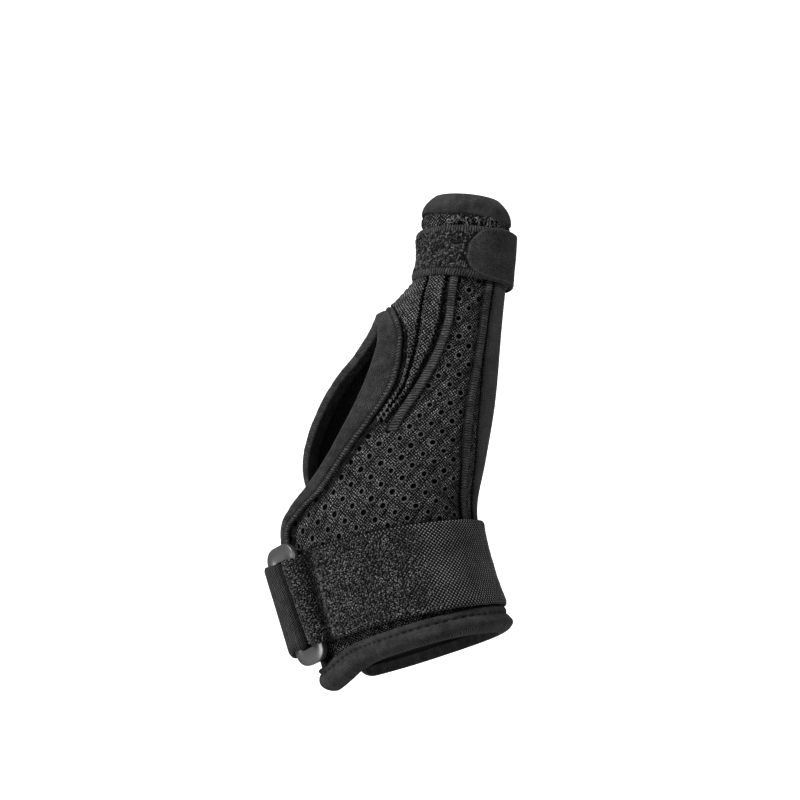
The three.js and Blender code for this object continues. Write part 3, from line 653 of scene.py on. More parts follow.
def folded(place, width_of, t, relief, nose, inner, count, span, joined=False, sink=None, bow=1.0):
    """A tape folded round an edge. place(t, share) gives turn and s; relief(e, width, along) gives
    the height added outside and its tone, which is painted shade and highlight; sink(t) is how far its ends
    go down."""
    width, along = width_of(t), t * span
    mean = float(np.mean(width))
    down = sink(t) if sink else 0.0

    def row(inset, height, extra=0.0):
        turn, s = place(t, np.clip(inset / width, 0, None))
        return at(turn, s, height + extra - down * (height > 2))

    def stretched(inset):
        past = nose + (inset - nose) * (width - nose) / (mean - nose)
        return np.full(len(t), inset) if inset < nose else past

    fronts, backs, uvs, tones = [], [], [], []
    for (e, h), (e_in, h_in) in zip(*fold_profile(mean, nose, inner, count, bow)):
        own = stretched(e)
        extra, tone = relief(own, width, along)
        fronts.append(row(own, h, extra * np.clip((h - 0.3) / (OVER_HIGH - 0.3), 0, 1) ** 0.5))
        backs.append(row(stretched(e_in), h_in))
        uvs.append(pair(along, own - h * 0.5))
        tones.append(tone)
    return slab(*map(np.array, (fronts, backs, uvs, tones)), joined)


def ridge_width(along):
    """Width of the ribbed strip along the binding's inner border, narrower by the web."""
    return 2.5 - 0.6 * bell(along - 130, 55)


def edge_relief(e, width, along):
    """Soft padding, a stitched groove and a ribbed ridge along the binding's border, and a tone of painted
    shade in the groove and at the border and painted highlight on the ridge's knobs.
    """
    from_border, wide = width - e, ridge_width(along)
    ridge = step(from_border / 0.7) * step((wide - from_border) / 0.7)
    groove = bell(from_border - wide - 0.1, 0.35)
    soft = np.sin(np.clip((from_border - wide) / np.maximum(width - wide, 1), 0, 1) * math.pi) * 0.55
    wrinkle = 0.12 * noise(along / 3.1, e / 9, 21) + 0.05 * noise(along / 1.1, e / 5, 22)
    knobs = 0.10 * noise(along / 0.9, from_border / 3, 23)
    high = ridge * (0.42 + knobs) - 0.45 * groove + soft + wrinkle - 0.3
    low_border = 1 - step(from_border / 0.6)
    # Painted highlight on the ridge's raised knobs, painted shade in the groove and where the border turns
    # down.
    tone = 1 + ridge * 2 * knobs - 0.6 * groove
    return high - 0.5 * low_border, np.clip(tone * (1 - 0.6 * low_border), 0.15, 3)


def build_edge_binding():
    reach, sunk, depth = 0.006, 0.002, 0.7      # shares of the rim past its ends, and mm
    t = np.linspace(-reach, 1 + reach, 1000)
    body = folded(rim_place, rim_width, t, edge_relief, nose=2.6, inner=4.4, count=19, span=RIM_ALONG[-1],
                  sink=lambda t: depth * step(np.maximum(sunk - t, t - (1 - sunk)) / 0.003))
    along, inset = body[2][body[1][:, 0]].T
    from_border = rim_width(along / RIM_ALONG[-1]) - inset - OVER_HIGH / 2
    ribbed = (from_border > 0.2) & (from_border < ridge_width(along) - 0.1)
    make_piece("edge_binding", "binding_tape", [BINDING, CORD], (*body[:4], ribbed))


def stitched_relief(e, width, along):
    """The hem's padding, with a line of sewn dashes below its border. Its tone is painted shade in the
    stitched trough and towards the hem's lower edge, and painted highlight on the fine ribs.
    """
    line, pitch = 2.5, 2.7
    below = width - e
    dash = step(0.5 + 1.5 * np.sin(2 * np.pi * along / pitch))
    trough = bell(below - line - 0.15 * noise(along / 5, e, 33), 0.4)
    soft = np.sin(np.clip((below - line) / np.maximum(width - line, 1), 0, 1) * math.pi * 0.8)
    lip = np.sin(np.clip(below / line, 0, 1) * math.pi)
    wrinkle = 0.10 * noise(along / 2.3, e / 3, 31) + 0.06 * noise(along / 0.9, e / 4, 32)
    fine = 0.05 * ripple(along + 0.3 * noise(along / 3, e / 2, 34), 0.8)
    border = 1 - step(below / 0.5)
    swell = 0.8 * bell(along - 92, 26)
    high = 1.2 * soft + 0.3 * lip - trough * (0.2 + 0.4 * dash) + wrinkle + fine - 0.25 - 0.4 * border + swell
    # Painted shade in the stitched trough and towards the lower edge, painted highlight on the fine ribs.
    return high, (1 - 0.75 * trough * dash + 4 * fine) * (1 - 0.35 * step((below - 3) / 6))


def build_hem_binding():
    from_turn, to_turn = RIM[0, 1] - 1.5, RIM[-1, 1] + 361.5

    def place(t, share):
        turn = from_turn + (to_turn - from_turn) * t
        from_end = np.clip(np.minimum(t, 1 - t) / 0.02, 0, 1)
        foot = hem_line(turn) + 2.4 * (1 - np.sqrt(1 - (1 - from_end) ** 2))
        return turn, foot + (hem_border(turn) - foot) * share

    def width(t):
        turn = from_turn + (to_turn - from_turn) * t
        return hem_border(turn) - hem_line(turn)

    body = folded(place, width, np.linspace(0, 1, 620), stitched_relief, nose=3.0, inner=4.2, count=20,
                  span=165.0)
    make_piece("hem_binding", "binding_tape", [BINDING], body)


def build_thumb_binding():
    def width(t):
        wave = noise(t * 14, t * 0 + 0.5, 43) + 0.5 * noise(t * 31, t * 0 + 0.5, 44)
        end_fade, sag = step(np.minimum(t, 1 - t) * 12), 1.15 * np.cos((t * 360 - 155) * math.pi / 180)
        return THUMB_BAND + THUMB_RISE_SEEN + 0.35 * wave * end_fade + sag

    def place(t, share):
        return t * 360 - 180, LENGTH + THUMB_RISE_SEEN - share * width(t)

    def relief(e, w, along):
        border = 1 - step((w - e) / 0.8)
        wrinkle = 0.14 * noise(along / 2.9, e / 3, 41) + 0.06 * noise(along / 0.8, e / 3, 42)
        # Painted shade where the binding's border turns down.
        return 0.25 + wrinkle - 0.6 * border, np.ones(len(along)) - 0.4 * border

    body = folded(place, width, np.arange(360) / 360, relief, nose=7.2, inner=6.0, count=10, span=92.0,
                  joined=True, bow=2.0)
    make_piece("thumb_binding", "binding_tape", [BINDING], body)


def under_strap(s):
    """How far things sink as they run in under the thumb strap."""
    from_middle = np.abs(s - THUMB_STRAP_MID)
    return step((THUMB_STRAP_WIDTH / 2 + 1.5 - from_middle) / 2.5)


def sheet(foot, rows, columns, low, place, high):
    """A closed sheet on the skin, from its foot up to the seams' top, raised from low. place(p, q, s)
    gives its turn, and high(p, q, s) its height and tone."""
    p, q = grid(rows, columns)
    s = foot + (SEAM_TOP - foot) * p
    turn, (height, tone) = place(p, q, s), high(p, q, s)
    height = low + (height - low) * (1 - 0.55 * under_strap(s))
    return slab(at(turn, s, height), at(turn, s, low), pair(flat_x(turn, s), s), tone)


def build_pleat(name, left, right, seed):
    """A raised pleat with wavy overlocked edges and their threads."""
    def place(p, q, s):
        wave = 0.22 * np.sin(s * 2 * math.pi / 2.1 + seed) * np.abs(2 * q - 1) ** 3 * np.sign(q - 0.5)
        turn = left(s) + (right(s) - left(s)) * q
        return turn + turn_of(wave, turn, s)

    def high(p, q, s):
        from_edge = from_sides(q, (right(s) - left(s)) / turn_of(1.0, left(s), s))
        dome = step(from_edge / 0.8) * 0.5 + np.sin(q * math.pi) * 0.3 + 0.15
        rope = bell(from_edge - 0.75, 0.38)
        strand = ripple(s + np.where(q < 0.5, 1.0, -1.0) * from_edge * 1.2, 2.0)
        foot = np.clip(p * 9, 0.3, 1)
        height = OVER_LOW + PLEAT_DEPTH * (dome + rope * (0.05 + 0.35 * strand)) * foot
        # Painted shade at the pleat's edges and along its rope, with painted highlight on the rope's strands.
        tone = 1 + rope * (0.7 * strand - 0.6) - 0.9 * (1 - step(from_edge / 0.5))
        return height + 0.05 * noise(q * 6, s / 1.3, seed), np.clip(tone, 0.1, 3)

    bodies = [sheet(PLEAT_FOOT, 330, 31, OVER_LOW - 0.2, place, high)]
    rng = np.random.default_rng(seed)
    spots = np.arange(PLEAT_FOOT + 0.8, THUMB_STRAP_FOOT + 1, 1.55)
    for side, line in ((-1, left), (1, right)):
        if side < 0 and name == "pleat_a":
            spots = spots[spots < border_s[top] - 6]
        edge = line(spots)
        turn = edge - side * turn_of(0.7 + rng.uniform(-0.2, 0.2, len(spots)), edge, spots)
        heading = np.radians(90 + side * 22 + rng.uniform(-6, 6, len(spots)))
        fade = 0.75 - 0.15 * step((spots - PLEAT_FOOT) / 40)
        bodies.append(threads(rng, turn, spots, OVER_LOW + 0.95, heading, length=1.9, thickness=0.22,
                              tone=fade, slot=1))
    make_piece(name, "pleat_cloth", [PLEAT, THREAD], *bodies)


def wide_first(least, aside):
    """A line beside the first groove, but at least so many mm clear of the binding's border."""
    def line(s):
        turn, start = seam(FIRST, s), beside_border(s)
        return np.maximum(turn + turn_of(aside, turn, s), start + turn_of(least, start, s))
    return line


def past_border(s):
    start = beside_border(s)
    return start + turn_of(0.1 + 1.2 * step((border_s[top] - s) / 15), start, s)


def build_tape(name, column, width, foot, pitch, seed, crown, aside):
    """A narrow sewn tape with cross ribs; width runs from its foot to its top, aside is how far its
    middle bows off the seam."""
    def place(p, q, s):
        turn = seam(column, s)
        wide = width[0] + (width[1] - width[0]) * step(p * 1.3)
        return turn + turn_of((q - 0.5) * wide + aside * np.sin(np.pi * p ** 0.8), turn, s)

    def high(p, q, s):
        edge = np.abs(2 * q - 1)
        ribs = ripple(s + 0.6 * noise(s / 3, q, seed), pitch) * (1 - edge ** 6)
        rise = 0.2 + 0.8 * step((s - foot) / 6)
        height = OVER_LOW - 0.35 + (TAPE * (0.75 + crown * (1 - edge ** 3)) + 0.28 * ribs) * rise
        # Darker towards the tape's foot.
        brightness = 0.75 + 0.25 * step((s - foot) / 3)
        # Painted highlight on the ribs and painted shade at the rounded edges.
        return height, (0.75 + 0.3 * ribs) * (1 - 0.8 * edge ** 5) * brightness

    rows = int((SEAM_TOP - foot) / 0.19)
    make_piece(name, "seam_tape", [RIBBED], sheet(foot, rows, 13, OVER_LOW - 0.5, place, high))


def build_stay_pocket():
    """Flat sleeve with fine cross ribs and a rolled near edge."""
    def place(p, q, s):
        return seam(NEAR, s) + (seam(FAR, s) - seam(NEAR, s)) * q

    def high(p, q, s):
        edge = np.minimum(q, 1 - q) * 20
        ribs = ripple(s + 0.4 * noise(s / 4, q * 5, 51), 1.0)
        rolled = bell(edge - 1.3, 0.8) * 0.22
        height = OVER_LOW + POCKET_DEPTH * (0.35 + 0.4 * np.clip(edge / 0.9, 0, 1)) + rolled + 0.2 * ribs
        # Painted highlight on the cross ribs and painted shade between them.
        return height, 0.55 + 0.8 * ribs

    rows = int((SEAM_TOP - SEAM_FOOT) / 0.25)
    body = sheet(SEAM_FOOT, rows, 25, OVER_LOW - 0.2, place, high)
    make_piece("stay_pocket", "pocket_twill", [TWILL], body)


# The ring and what runs through it
facing = np.array([math.cos(math.radians(RING_FACING)), math.sin(math.radians(RING_FACING)), 0.0])
width_way = np.array([-facing[1], facing[0], 0.0])
strap_level = STRAP_MID - CUFF_DROP
RING_LEAN, STRAP_LEAN = math.radians(5.5), math.radians(8.0)    # the strap pulls both askew
RING_SHOWN, END_SHOWN = 44.5, 5.9       # the ring's whole length and its end bars as seen


def leaning(angle):
    return np.array([0, 0, 1.0]) * math.cos(angle) - width_way * math.sin(angle)


up_way = leaning(RING_LEAN)
near_bar = at(RING_TURN, ALONG[1], RING_HEIGHT)
near_bar[2] = strap_level
near_bar += width_way * 0.5
far_bar = near_bar - width_way * (RING_WIDTH - RING_BAR)


def round_bar(bar, to_window, thick, inner_lead, outer_lead):
    """Points of a strap's middle line, in under a bar of the ring, round it and out over it."""
    radius = RING_THICK / 2 + CLEAR + 0.1 + thick / 2
    centre = to_window * (RING_BAR - RING_THICK) / 2

    def spot(a, b):
        return bar + width_way * a + facing * b

    angles = math.pi * (np.linspace(0, 1, 9) - 0.5)
    arc = [spot(centre + to_window * radius * math.cos(a), radius * math.sin(a)) for a in angles]
    inner, outer = (spot(centre - to_window * lead, way * radius)
                    for lead, way in ((inner_lead, -1), (outer_lead, 1)))
    return [inner, *arc, outer]


def catmull(points, count):
    """count + 1 points on a centripetal curve through the points, (knots, 3) or (knots, rows, 3)."""
    pts = np.asarray(points, float)
    first, last = 2 * pts[0] - pts[1], 2 * pts[-1] - pts[-2]
    ext = np.concatenate([first[None], pts, last[None]])
    t = np.linspace(0, len(pts) - 1, count + 1)
    k = np.minimum(t.astype(int), len(pts) - 2)
    w = (t - k).reshape(-1, *([1] * (pts.ndim - 1)))
    p0, p1, p2, p3 = (ext[k + n] for n in range(4))

    def gap(a, b):
        return np.maximum(np.sqrt(norm(a - b, axis=-1, keepdims=True)), 1e-4)

    d0, d1, d2 = gap(p0, p1), gap(p1, p2), gap(p2, p3)
    m1 = ((p1 - p0) / d0 - (p2 - p0) / (d0 + d1) + (p2 - p1) / d1) * d1
    m2 = ((p2 - p1) / d1 - (p3 - p1) / (d1 + d2) + (p3 - p2) / d2) * d1
    return hermite(w, p1, p2, m1, m2)


def strap_middle(knots, columns, rows, bottom, top, lean):
    """Middle surface of a strap, (rows, columns, 3), bottom row first. A knot is a turn and a height,
    or a point on the strap's middle line."""
    p = np.linspace(0, 1, rows)
    stations = []
    for knot in knots:
        if len(knot) == 2:
            turn, height = knot
            stations.append(at(turn, bottom(turn) + (top(turn) - bottom(turn)) * p, height))
        else:
            stations.append(knot + leaning(lean) * (STRAP_WIDTH * (p - 0.5))[:, None])
    return catmull(stations, columns).transpose(1, 0, 2)


def even(middle, spacing):
    """The same surface with its columns spread evenly along its middle row."""
    run = run_along(middle[len(middle) // 2])
    spots = np.linspace(0, run[-1], int(run[-1] / spacing) + 2)
    place = np.interp(spots, run, np.arange(len(run)))
    k = np.minimum(place.astype(int), len(run) - 2)
    w = (place - k)[None, :, None]
    return middle[:, k] * (1 - w) + middle[:, k + 1] * w, spots


def strap_normals(middle):
    return unit(np.cross(np.gradient(middle, axis=1), np.gradient(middle, axis=0)))


def strip(middle, thick, high, uv, tone):
    """A closed strip round a middle surface, with rounded edges: high is extra height on its outer side."""
    normal = strap_normals(middle)
    p = np.linspace(0, 1, middle.shape[0])
    from_edge = from_sides(p, norm(middle[-1, 0] - middle[0, 0]))
    roll = 1 - np.clip(1 - from_edge / (thick * 0.6), 0, 1) ** 2 * 0.65
    half = (thick / 2 * roll)[:, None, None]
    return slab(middle + normal * (half + high[..., None]), middle - normal * half, uv, tone)


WRIST_KNOTS = [(turn, STRAP_FIRST) for turn in range(-95, -152, -7)]
WRIST_KNOTS += round_bar(near_bar, -1, STRAP_THICK, inner_lead=1.0, outer_lead=3.2)
for turn in -143 + 5.5 * np.arange(41):
    over_pocket = np.clip((turn + 100) / 20, 0, 1)
    WRIST_KNOTS.append((turn, STRAP_SECOND + (STRAP_OVER_POCKET - STRAP_SECOND) * over_pocket))


def strap_bottom(turn):
    return STRAP_MID - STRAP_WIDTH / 2 - STRAP_SLACK * float(step((turn + 100) / 70))


def strap_top(turn):
    return STRAP_MID + STRAP_WIDTH / 2


def curls(rng, spots, normals, tangents, length, thickness, bend, lift, heading=None, grow=1.0):
    """Short curved lengths of yarn lying on a surface: tubes of five stations and four sides. grow
    makes each one larger."""
    n, stations = len(spots), 5
    turning = rng.uniform(-bend, bend, n)
    size = length * (rng.uniform(0.7, 1.3, n) if heading is None else rng.uniform(0.9, 1.1, n))
    if heading is None:
        heading = rng.uniform(0, 2 * np.pi, n)
    grow = np.broadcast_to(grow, n)[:, None]
    t = np.linspace(-0.5, 0.5, stations)[:, None]
    angle = (heading + turning * t)[..., None]
    way = tangents * np.cos(angle) + np.cross(normals, tangents) * np.sin(angle)
    rise = (lift * (1 - (2 * t) ** 2))[..., None]
    path = spots + (way * (size * t)[..., None] + normals * rise) * grow
    along = unit(np.gradient(path, axis=0))
    side = unit(np.cross(along, normals[None]))
    over = np.cross(side, along)
    thick = thickness * np.sqrt(np.clip(1 - (2 * t) ** 4 * 0.8, 0.1, 1))[..., None] * grow
    corners = (np.arange(4) + 0.5) * np.pi / 2
    rings = [path + thick * (side * math.cos(a) + over * math.sin(a)) for a in corners]
    points = np.array(rings).transpose(2, 1, 0, 3).reshape(-1, 3)
    ring_id = np.arange(stations * 4).reshape(stations, 4)
    local = np.concatenate([faces_of(ring_id, wrap_columns=True), [ring_id[0][::-1], ring_id[-1]]])
    return points, (local + np.arange(n)[:, None, None] * stations * 4).reshape(-1, 4)


def yarn(curled, uv, tone, slot):
    """The body of curled lengths of yarn, each with one uv and one tone."""
    points, faces = curled
    per = len(points) // len(tone)
    return points, faces, np.repeat(uv, per, axis=0), np.repeat(tone, per), slot


def threads(rng, turn, s, height, heading, length, thickness, tone, slot):
    """Sewn threads lying on a piece."""
    around = unit(skin(turn + 0.5, s) - skin(turn - 0.5, s))
    spots = at(turn, s, height - 0.5 * under_strap(s))
    curled = curls(rng, spots, outward(turn, s), around, length, thickness, bend=0.8, lift=0.25,
                   heading=heading)
    return yarn(curled, pair(turn, s), tone, slot)


def scatter(rng, middle, normal, lift, keep, spacing):
    """Jittered places on a surface grid, about spacing apart: points, normals, tangents, p and q."""
    rows, columns = middle.shape[:2]
    height = norm(middle[-1, 0] - middle[0, 0])
    width = run_along(middle[rows // 2])[-1]
    even_spots = [(np.arange(int(size / spacing)) + 0.5) * spacing / size for size in (height, width)]
    p, q = np.meshgrid(*even_spots, indexing="ij")
    p = np.clip(p + rng.uniform(-0.42, 0.42, p.shape) * spacing / height, 0, 0.999).reshape(-1)
    q = np.clip(q + rng.uniform(-0.42, 0.42, q.shape) * spacing / width, 0, 0.999).reshape(-1)
    chosen = keep(p, q)
    p, q = p[chosen], q[chosen]
    places, n, tangent = (bilinear(table, p * (rows - 1), q * (columns - 1))
                          for table in (middle, normal, np.gradient(middle, axis=1)))
    return places + unit(n) * lift, unit(n), unit(tangent), p, q


def build_wrist_strap():
    middle, run = even(strap_middle(WRIST_KNOTS, 700, 29, strap_bottom, strap_top, STRAP_LEAN), 0.6)
    rows, columns = middle.shape[:2]
    p, q = grid(rows, columns)
    x = q * run[-1]
    # Where the fold over the ring ends and where the loop pile gives way to the woven part
    fold_run = run[int(np.argmin(norm(middle[rows // 2] - (near_bar - width_way * 3.9), axis=1)))]
    weave_run = fold_run + 52

    def past_fold(at_run, place, spread):
        return bell(at_run - fold_run - place, spread)

    wave = 0.8 * noise(p * 3, p * 0 + 0.5, 63)
    lumps = 0.16 * noise(x / 5, p * 7, 61) + 0.07 * noise(x / 1.6, p * 20, 62)
    lumps = lumps + 0.9 * past_fold(x, 4.5, 2.5) - 1.2 * past_fold(x, 11.0 + wave, 2.0)
    lumps = (lumps + 0.7 * past_fold(x, 15.5 + wave, 1.8)) * (x > fold_run + 0.5)
    # Painted shade where the strap turns into the ring and in the valley past the fold.
    shade = (1 - 0.8 * past_fold(x, 11.0 + wave, 2.2)) * (0.1 + 0.9 * step((x - fold_run - 0.2) / 1.6))
    # Painted shade on the ground under the loop pile, full tone where it is bare.
    bare = 0.12 + 0.88 * step((x - weave_run + 8) / 16)
    selvage = from_sides(p, STRAP_WIDTH)
    ground = shade * np.maximum(bare, 0.85 * (1 - step((selvage - 0.5) / 0.5)))
    body = strip(middle, STRAP_THICK, lumps, pair(x, p * STRAP_WIDTH), ground)
    normal = strap_normals(middle)
    rng = np.random.default_rng(7)

    def keep(p_, q_):
        r = q_ * run[-1]
        thin = np.clip((weave_run + 8 - r) / 16, 0, 1)
        return (r > fold_run - 1) & (rng.uniform(0, 1, len(r)) < thin) & (p_ > 0.02) & (p_ < 0.965)

    surface = middle + normal * lumps[..., None]
    spots, n, tangent, ps, qs = scatter(rng, surface, normal, STRAP_THICK / 2, keep, 0.80)
    xs = qs * run[-1]
    curled = curls(rng, spots, n, tangent, length=0.75, thickness=0.25, bend=2.5, lift=0.14,
                   grow=1 + 0.5 * past_fold(xs, 16.0, 2.5))
    # The loops carry the painted shade, are darker on the ridge past the fold, and vary at random.
    brightness = shade[(ps * (rows - 1)).astype(int), (qs * (columns - 1)).astype(int)]
    brightness = brightness * (1 - 0.35 * past_fold(xs, 16.0, 3.0))
    loops = yarn(curled, pair(xs, ps * STRAP_WIDTH), brightness * rng.uniform(0.55, 1.25, len(spots)), 1)
    make_piece("wrist_strap", "loop_strap", [WEAVE, LOOPS], body, loops)


def build_ring_webbing():
    knots = [(-203, 3.2), (-196, 4.6), *round_bar(far_bar, 1, WEBBING_THICK, inner_lead=2.5, outer_lead=2.5)]
    knots += [(-193, 8.6), (-203, 6.6)] + [(-213 - 5.5 * k, WEBBING_OVER_EDGE) for k in range(9)]
    knots += [(-262, WEBBING_OVER_EDGE - 0.5), (-268, STRAP_FIRST)]
    middle = strap_middle(knots, 600, 27, lambda t: strap_top(t) - STRAP_WIDTH, strap_top, RING_LEAN)
    middle, run = even(middle, 0.2)
    p, q = grid(*middle.shape[:2])
    across = q * run[-1] + 0.2 * noise(p * 6, q * run[-1] / 4, 71)
    ribs = ripple(across, 1.05)
    beads = noise(across / 0.5, p * 45, 72)
    high = 0.12 * ribs + 0.05 * beads - 0.06
    # Painted highlight on the ribs and their beads, painted shade between them.
    body = strip(middle, WEBBING_THICK, high, pair(q * run[-1], p * STRAP_WIDTH),
                 0.4 + 0.7 * ribs + 0.35 * beads * ribs)
    make_piece("ring_webbing", "elastic_webbing", [WEBBING], body)


def build_ring():
    """Flat rectangular ring with round corners, a soft bevel, a window and a slightly crowned face."""
    bevel, levels, crown = 0.38, 8, 0.35
    centre, side_way = (near_bar + far_bar) / 2, np.cross(up_way, facing)

    def side(width, height, corner, way):
        """Loops down one side of the ring's section, from its face to its back."""
        loops = []
        for a in np.arange(levels + 1) / levels * math.pi:
            inset = way * bevel * (1 - abs(math.sin(a)) ** 0.7)
            depth = RING_THICK / 2 * np.sign(math.cos(a)) * abs(math.cos(a)) ** 0.6
            w, h, r = width / 2 - inset, height / 2 - inset, max(corner - inset, 0.25)
            for k, (cx, cy) in enumerate(((w - r, h - r), (r - w, h - r), (r - w, r - h), (w - r, r - h))):
                turn = np.radians(np.linspace(90 * k, 90 * k + 90, 13))[:, None]
                loops.append(centre + (cx + r * np.cos(turn)) * side_way + (cy + r * np.sin(turn)) * up_way
                             + depth * facing)
        return np.array(loops).reshape(levels + 1, -1, 3)

    outer_side = side(RING_WIDTH, RING_SHOWN, RING_CORNER, 1)
    inner_side = side(RING_WIDTH - 2 * RING_BAR, RING_SHOWN - 2 * END_SHOWN, RING_CORNER - RING_BAR, -1)
    first, last = outer_side[0], inner_side[0]
    face = [last + (first - last) * share + facing * crown * math.sin(math.pi * share)
            for share in (0.2, 0.5, 0.8)]
    points = np.concatenate([outer_side, inner_side[::-1], face])
    ids = np.arange(points.shape[0] * points.shape[1]).reshape(points.shape[:2])
    flat = points.reshape(-1, 3)
    quads = faced(flat, faces_of(ids, wrap_rows=True, wrap_columns=True))
    make_piece("strap_ring", "ring_plastic", [RING_SATIN], (flat, quads, flat[:, :2], np.ones(len(flat)), 0))


THUMB_STRAP_LOW, THUMB_STRAP_HIGH = 4.5, 6.4        # pulled tight, it presses into the padding
SELVAGE = 2.8
TAB_START, TAB_END, TAB_ROUND = -84.0, 110.0, 8.0


def strap_mid_at(turn):
    """The strap's middle line rises a little where its tab is."""
    return THUMB_STRAP_MID + 0.7 * np.cos(np.radians(turn))



def tab_outline(p, clear):
    """The turn a little before the tab's rounded end, at share p across the strap."""
    from_end = TAB_ROUND * (1 - (1 - (2 * p - 1) ** 2) ** (1 / 2.4)) - clear
    return TAB_START + from_end * turn_of(1.0, TAB_START, THUMB_STRAP_MID)


def build_thumb_strap():
    girth = 112.0
    p, q = grid(37, 420, joined=True)
    turn = q * 360 - 180
    s = strap_mid_at(turn) + (p - 0.5) * THUMB_STRAP_WIDTH
    from_edge = from_sides(p, THUMB_STRAP_WIDTH)
    dome = 1 - np.clip(1 - from_edge / 2.2, 0, 1) ** 2.2 * 0.6
    rib = ripple(q * girth, 0.95) * (from_edge < SELVAGE)
    groove = bell(from_edge - SELVAGE, 0.4)
    lumps = 0.12 * noise(q * 18, p * 3, 81)
    high = THUMB_STRAP_LOW + (THUMB_STRAP_HIGH - THUMB_STRAP_LOW) * dome + 0.12 * rib - 0.3 * groove + lumps
    front = at(turn, s, high)
    # Painted shade in the groove beside each selvage.
    body = slab(front, at(turn, s, THUMB_STRAP_LOW - 0.4), pair(q * girth, p * THUMB_STRAP_WIDTH),
                1 - 0.8 * groove, joined=True)
    row_mm = body[2][body[1][:, 0], 1]
    ribbed = (row_mm < SELVAGE) | (row_mm > THUMB_STRAP_WIDTH - SELVAGE)
    rng = np.random.default_rng(9)

    def keep(p_, q_):
        edge = from_sides(p_, THUMB_STRAP_WIDTH)
        t = q_ * 360 - 180
        return (edge > SELVAGE + 0.1) & ((t < tab_outline(p_, 0.5)) | (t > TAB_END + 2))

    spots, n, tangent, ps, qs = scatter(rng, front, outward(turn, s), 0.02, keep, 0.92)
    curled = curls(rng, spots, n, tangent, length=1.6, thickness=0.25, bend=4.0, lift=0.28)
    tones = rng.uniform(0.3, 0.9, len(spots))
    loops = yarn(curled, pair(qs * girth, ps * THUMB_STRAP_WIDTH), tones, 2)
    make_piece("thumb_loop_strap", "loop_strap", [GROUND, CORD, LOOPS], (*body[:4], ribbed), loops)


def build_thumb_tab():
    """Felt-faced hook tab with a round end."""
    p, q = grid(41, 190)
    turn = TAB_START + (TAB_END - TAB_START) * q ** 1.5
    from_end = (turn - TAB_START) / turn_of(1.0, turn, THUMB_STRAP_MID)
    share = np.maximum(np.sqrt(1 - np.clip(1 - from_end / TAB_ROUND, 0, 1) ** 2.4), 0.3)
    fray = 0.12 * noise(from_end / 1.1, p * 3, 92) * np.abs(2 * p - 1) ** 4
    s = strap_mid_at(turn) + ((p - 0.5) * THUMB_STRAP_WIDTH + fray) * share
    edge = np.minimum(from_sides(p, THUMB_STRAP_WIDTH) * share, from_end)
    rounding = 1 - np.clip(1 - edge / 0.8, 0, 1) ** 2 * 0.5
    low = THUMB_STRAP_HIGH - 0.05
    high = low + (TAB_THICK - 0.25) * rounding + 0.12 * noise(turn / 14, s / 5, 91)
    # Painted highlight just inside the rounded rim, painted shade at its very edge.
    tone = 1 + 0.5 * bell(edge - 0.45, 0.3) - 0.6 * (1 - step(edge / 0.3))
    body = slab(at(turn, s, high), at(turn, s, low), pair(from_end, s), tone)
    make_piece("thumb_hook_tab", "hook_felt", [FELT], body)


mesh_body = build_mesh_body()
build_edge_binding()
build_hem_binding()
build_thumb_binding()
build_pleat("pleat_a", past_border, wide_first(least=2.6, aside=-0.5), seed=13)
build_pleat("pleat_b", wide_first(least=3.3, aside=0.5), curved_edge, seed=17)
build_tape("curved_tape", CURVED, (3.7, 2.4), CURVED_FOOT, pitch=1.05, seed=14, crown=0.25, aside=1.0)
build_tape("stay_tape", STAY, (3.4, 2.4), SEAM_FOOT, pitch=0.85, seed=15, crown=0.3, aside=0.0)
build_stay_pocket()
build_wrist_strap()
build_ring_webbing()
build_thumb_strap()
build_thumb_tab()
build_ring()

# Camera: at the photograph's angle, turned so that the origin lands where the wrist strap does
ORIGIN_PX, PHOTO, FOCAL_PX = (389.0, 588.0), 800, 3047.0
AIM = (0.02, 0, 0.05)      # where the lights point
DISTANCE, ELEVATION, ROLL = 1.1, math.radians(-6.5), math.radians(14.0)


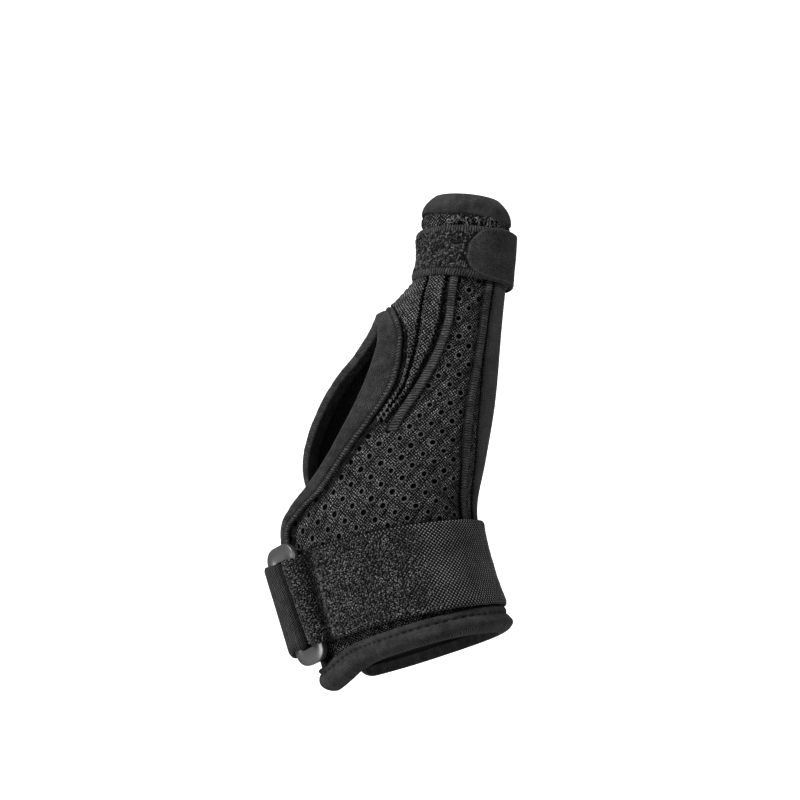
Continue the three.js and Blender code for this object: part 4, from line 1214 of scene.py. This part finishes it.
def make_camera():
    back = Vector((0, -math.cos(ELEVATION), math.sin(ELEVATION)))
    right = Vector((1, 0, 0))
    up = back.cross(right)
    cos_roll, sin_roll = math.cos(ROLL), math.sin(ROLL)
    dx, dy = PHOTO / 2 - ORIGIN_PX[0], ORIGIN_PX[1] - PHOTO / 2
    sideways, upward = cos_roll * dx + sin_roll * dy, -sin_roll * dx + cos_roll * dy
    look = (right * sideways + up * upward - back * FOCAL_PX).normalized()
    side = look.cross(up).normalized()
    top_way = side.cross(look)
    data = bpy.data.cameras.new("camera")
    data.sensor_width = 36
    data.lens = FOCAL_PX / PHOTO * data.sensor_width
    data.clip_end = 100
    camera = add_object("camera", data)
    axes = (side * cos_roll - top_way * sin_roll, side * sin_roll + top_way * cos_roll, -look)
    camera.matrix_world = Matrix.Translation(back * DISTANCE) @ Matrix(axes).transposed().to_4x4()
    bpy.context.scene.camera = camera


def area_light(name, place, size, power):
    data = bpy.data.lights.new(name, "AREA")
    data.shape = "DISK"
    data.size = size
    data.energy = power
    light = add_object(name, data)
    light.location = place
    light.rotation_euler = (Vector(AIM) - Vector(place)).to_track_quat("-Z", "Y").to_euler()


def plain_square(name, material_name, corners, constants):
    """A large square of one plain material."""
    mesh = bpy.data.meshes.new(name)
    mesh.from_pydata(corners, [], [(0, 1, 2, 3)])
    kit = Shading(material_name)
    kit.fill(kit.tree.nodes["Principled BSDF"], constants)
    mesh.materials.append(kit.material)
    return add_object(name, mesh)


def make_stage():
    """A white wall that glows behind the splint, a pale floor, a dim white world and four soft lights."""
    scene = bpy.context.scene
    scene.view_settings.view_transform = "Standard"
    scene.world = bpy.data.worlds.new("studio")
    scene.world.use_nodes = True
    sky = scene.world.node_tree.nodes["Background"]
    sky.inputs[0].default_value = grey(1)
    sky.inputs[1].default_value = 0.20
    half, away, middle = 0.7, 1.6, 0.34
    wall = plain_square("backdrop", "white_wall", [
        (x * half, away, middle + z * half) for x, z in ((-1, -1), (1, -1), (1, 1), (-1, 1))],
        {"Base Color": grey(0.9), "Emission Color": grey(1), "Emission Strength": 1.0})
    half, level = 3.0, -0.32
    floor = plain_square("floor", "pale_floor", [
        (x * half, y * half, level) for x, y in ((-1, -1), (1, -1), (1, 1), (-1, 1))],
        {"Base Color": grey(0.5), "Roughness": 0.6})
    area_light("key", (-0.62, -0.75, 0.72), size=0.25, power=16)
    area_light("fill", (-0.9, -0.5, -0.05), size=0.4, power=4)
    area_light("right", (0.9, -0.5, 0.35), size=0.3, power=4)
    area_light("rim", (0.25, 0.35, 1.0), size=0.2, power=6)


make_camera()
make_stage()
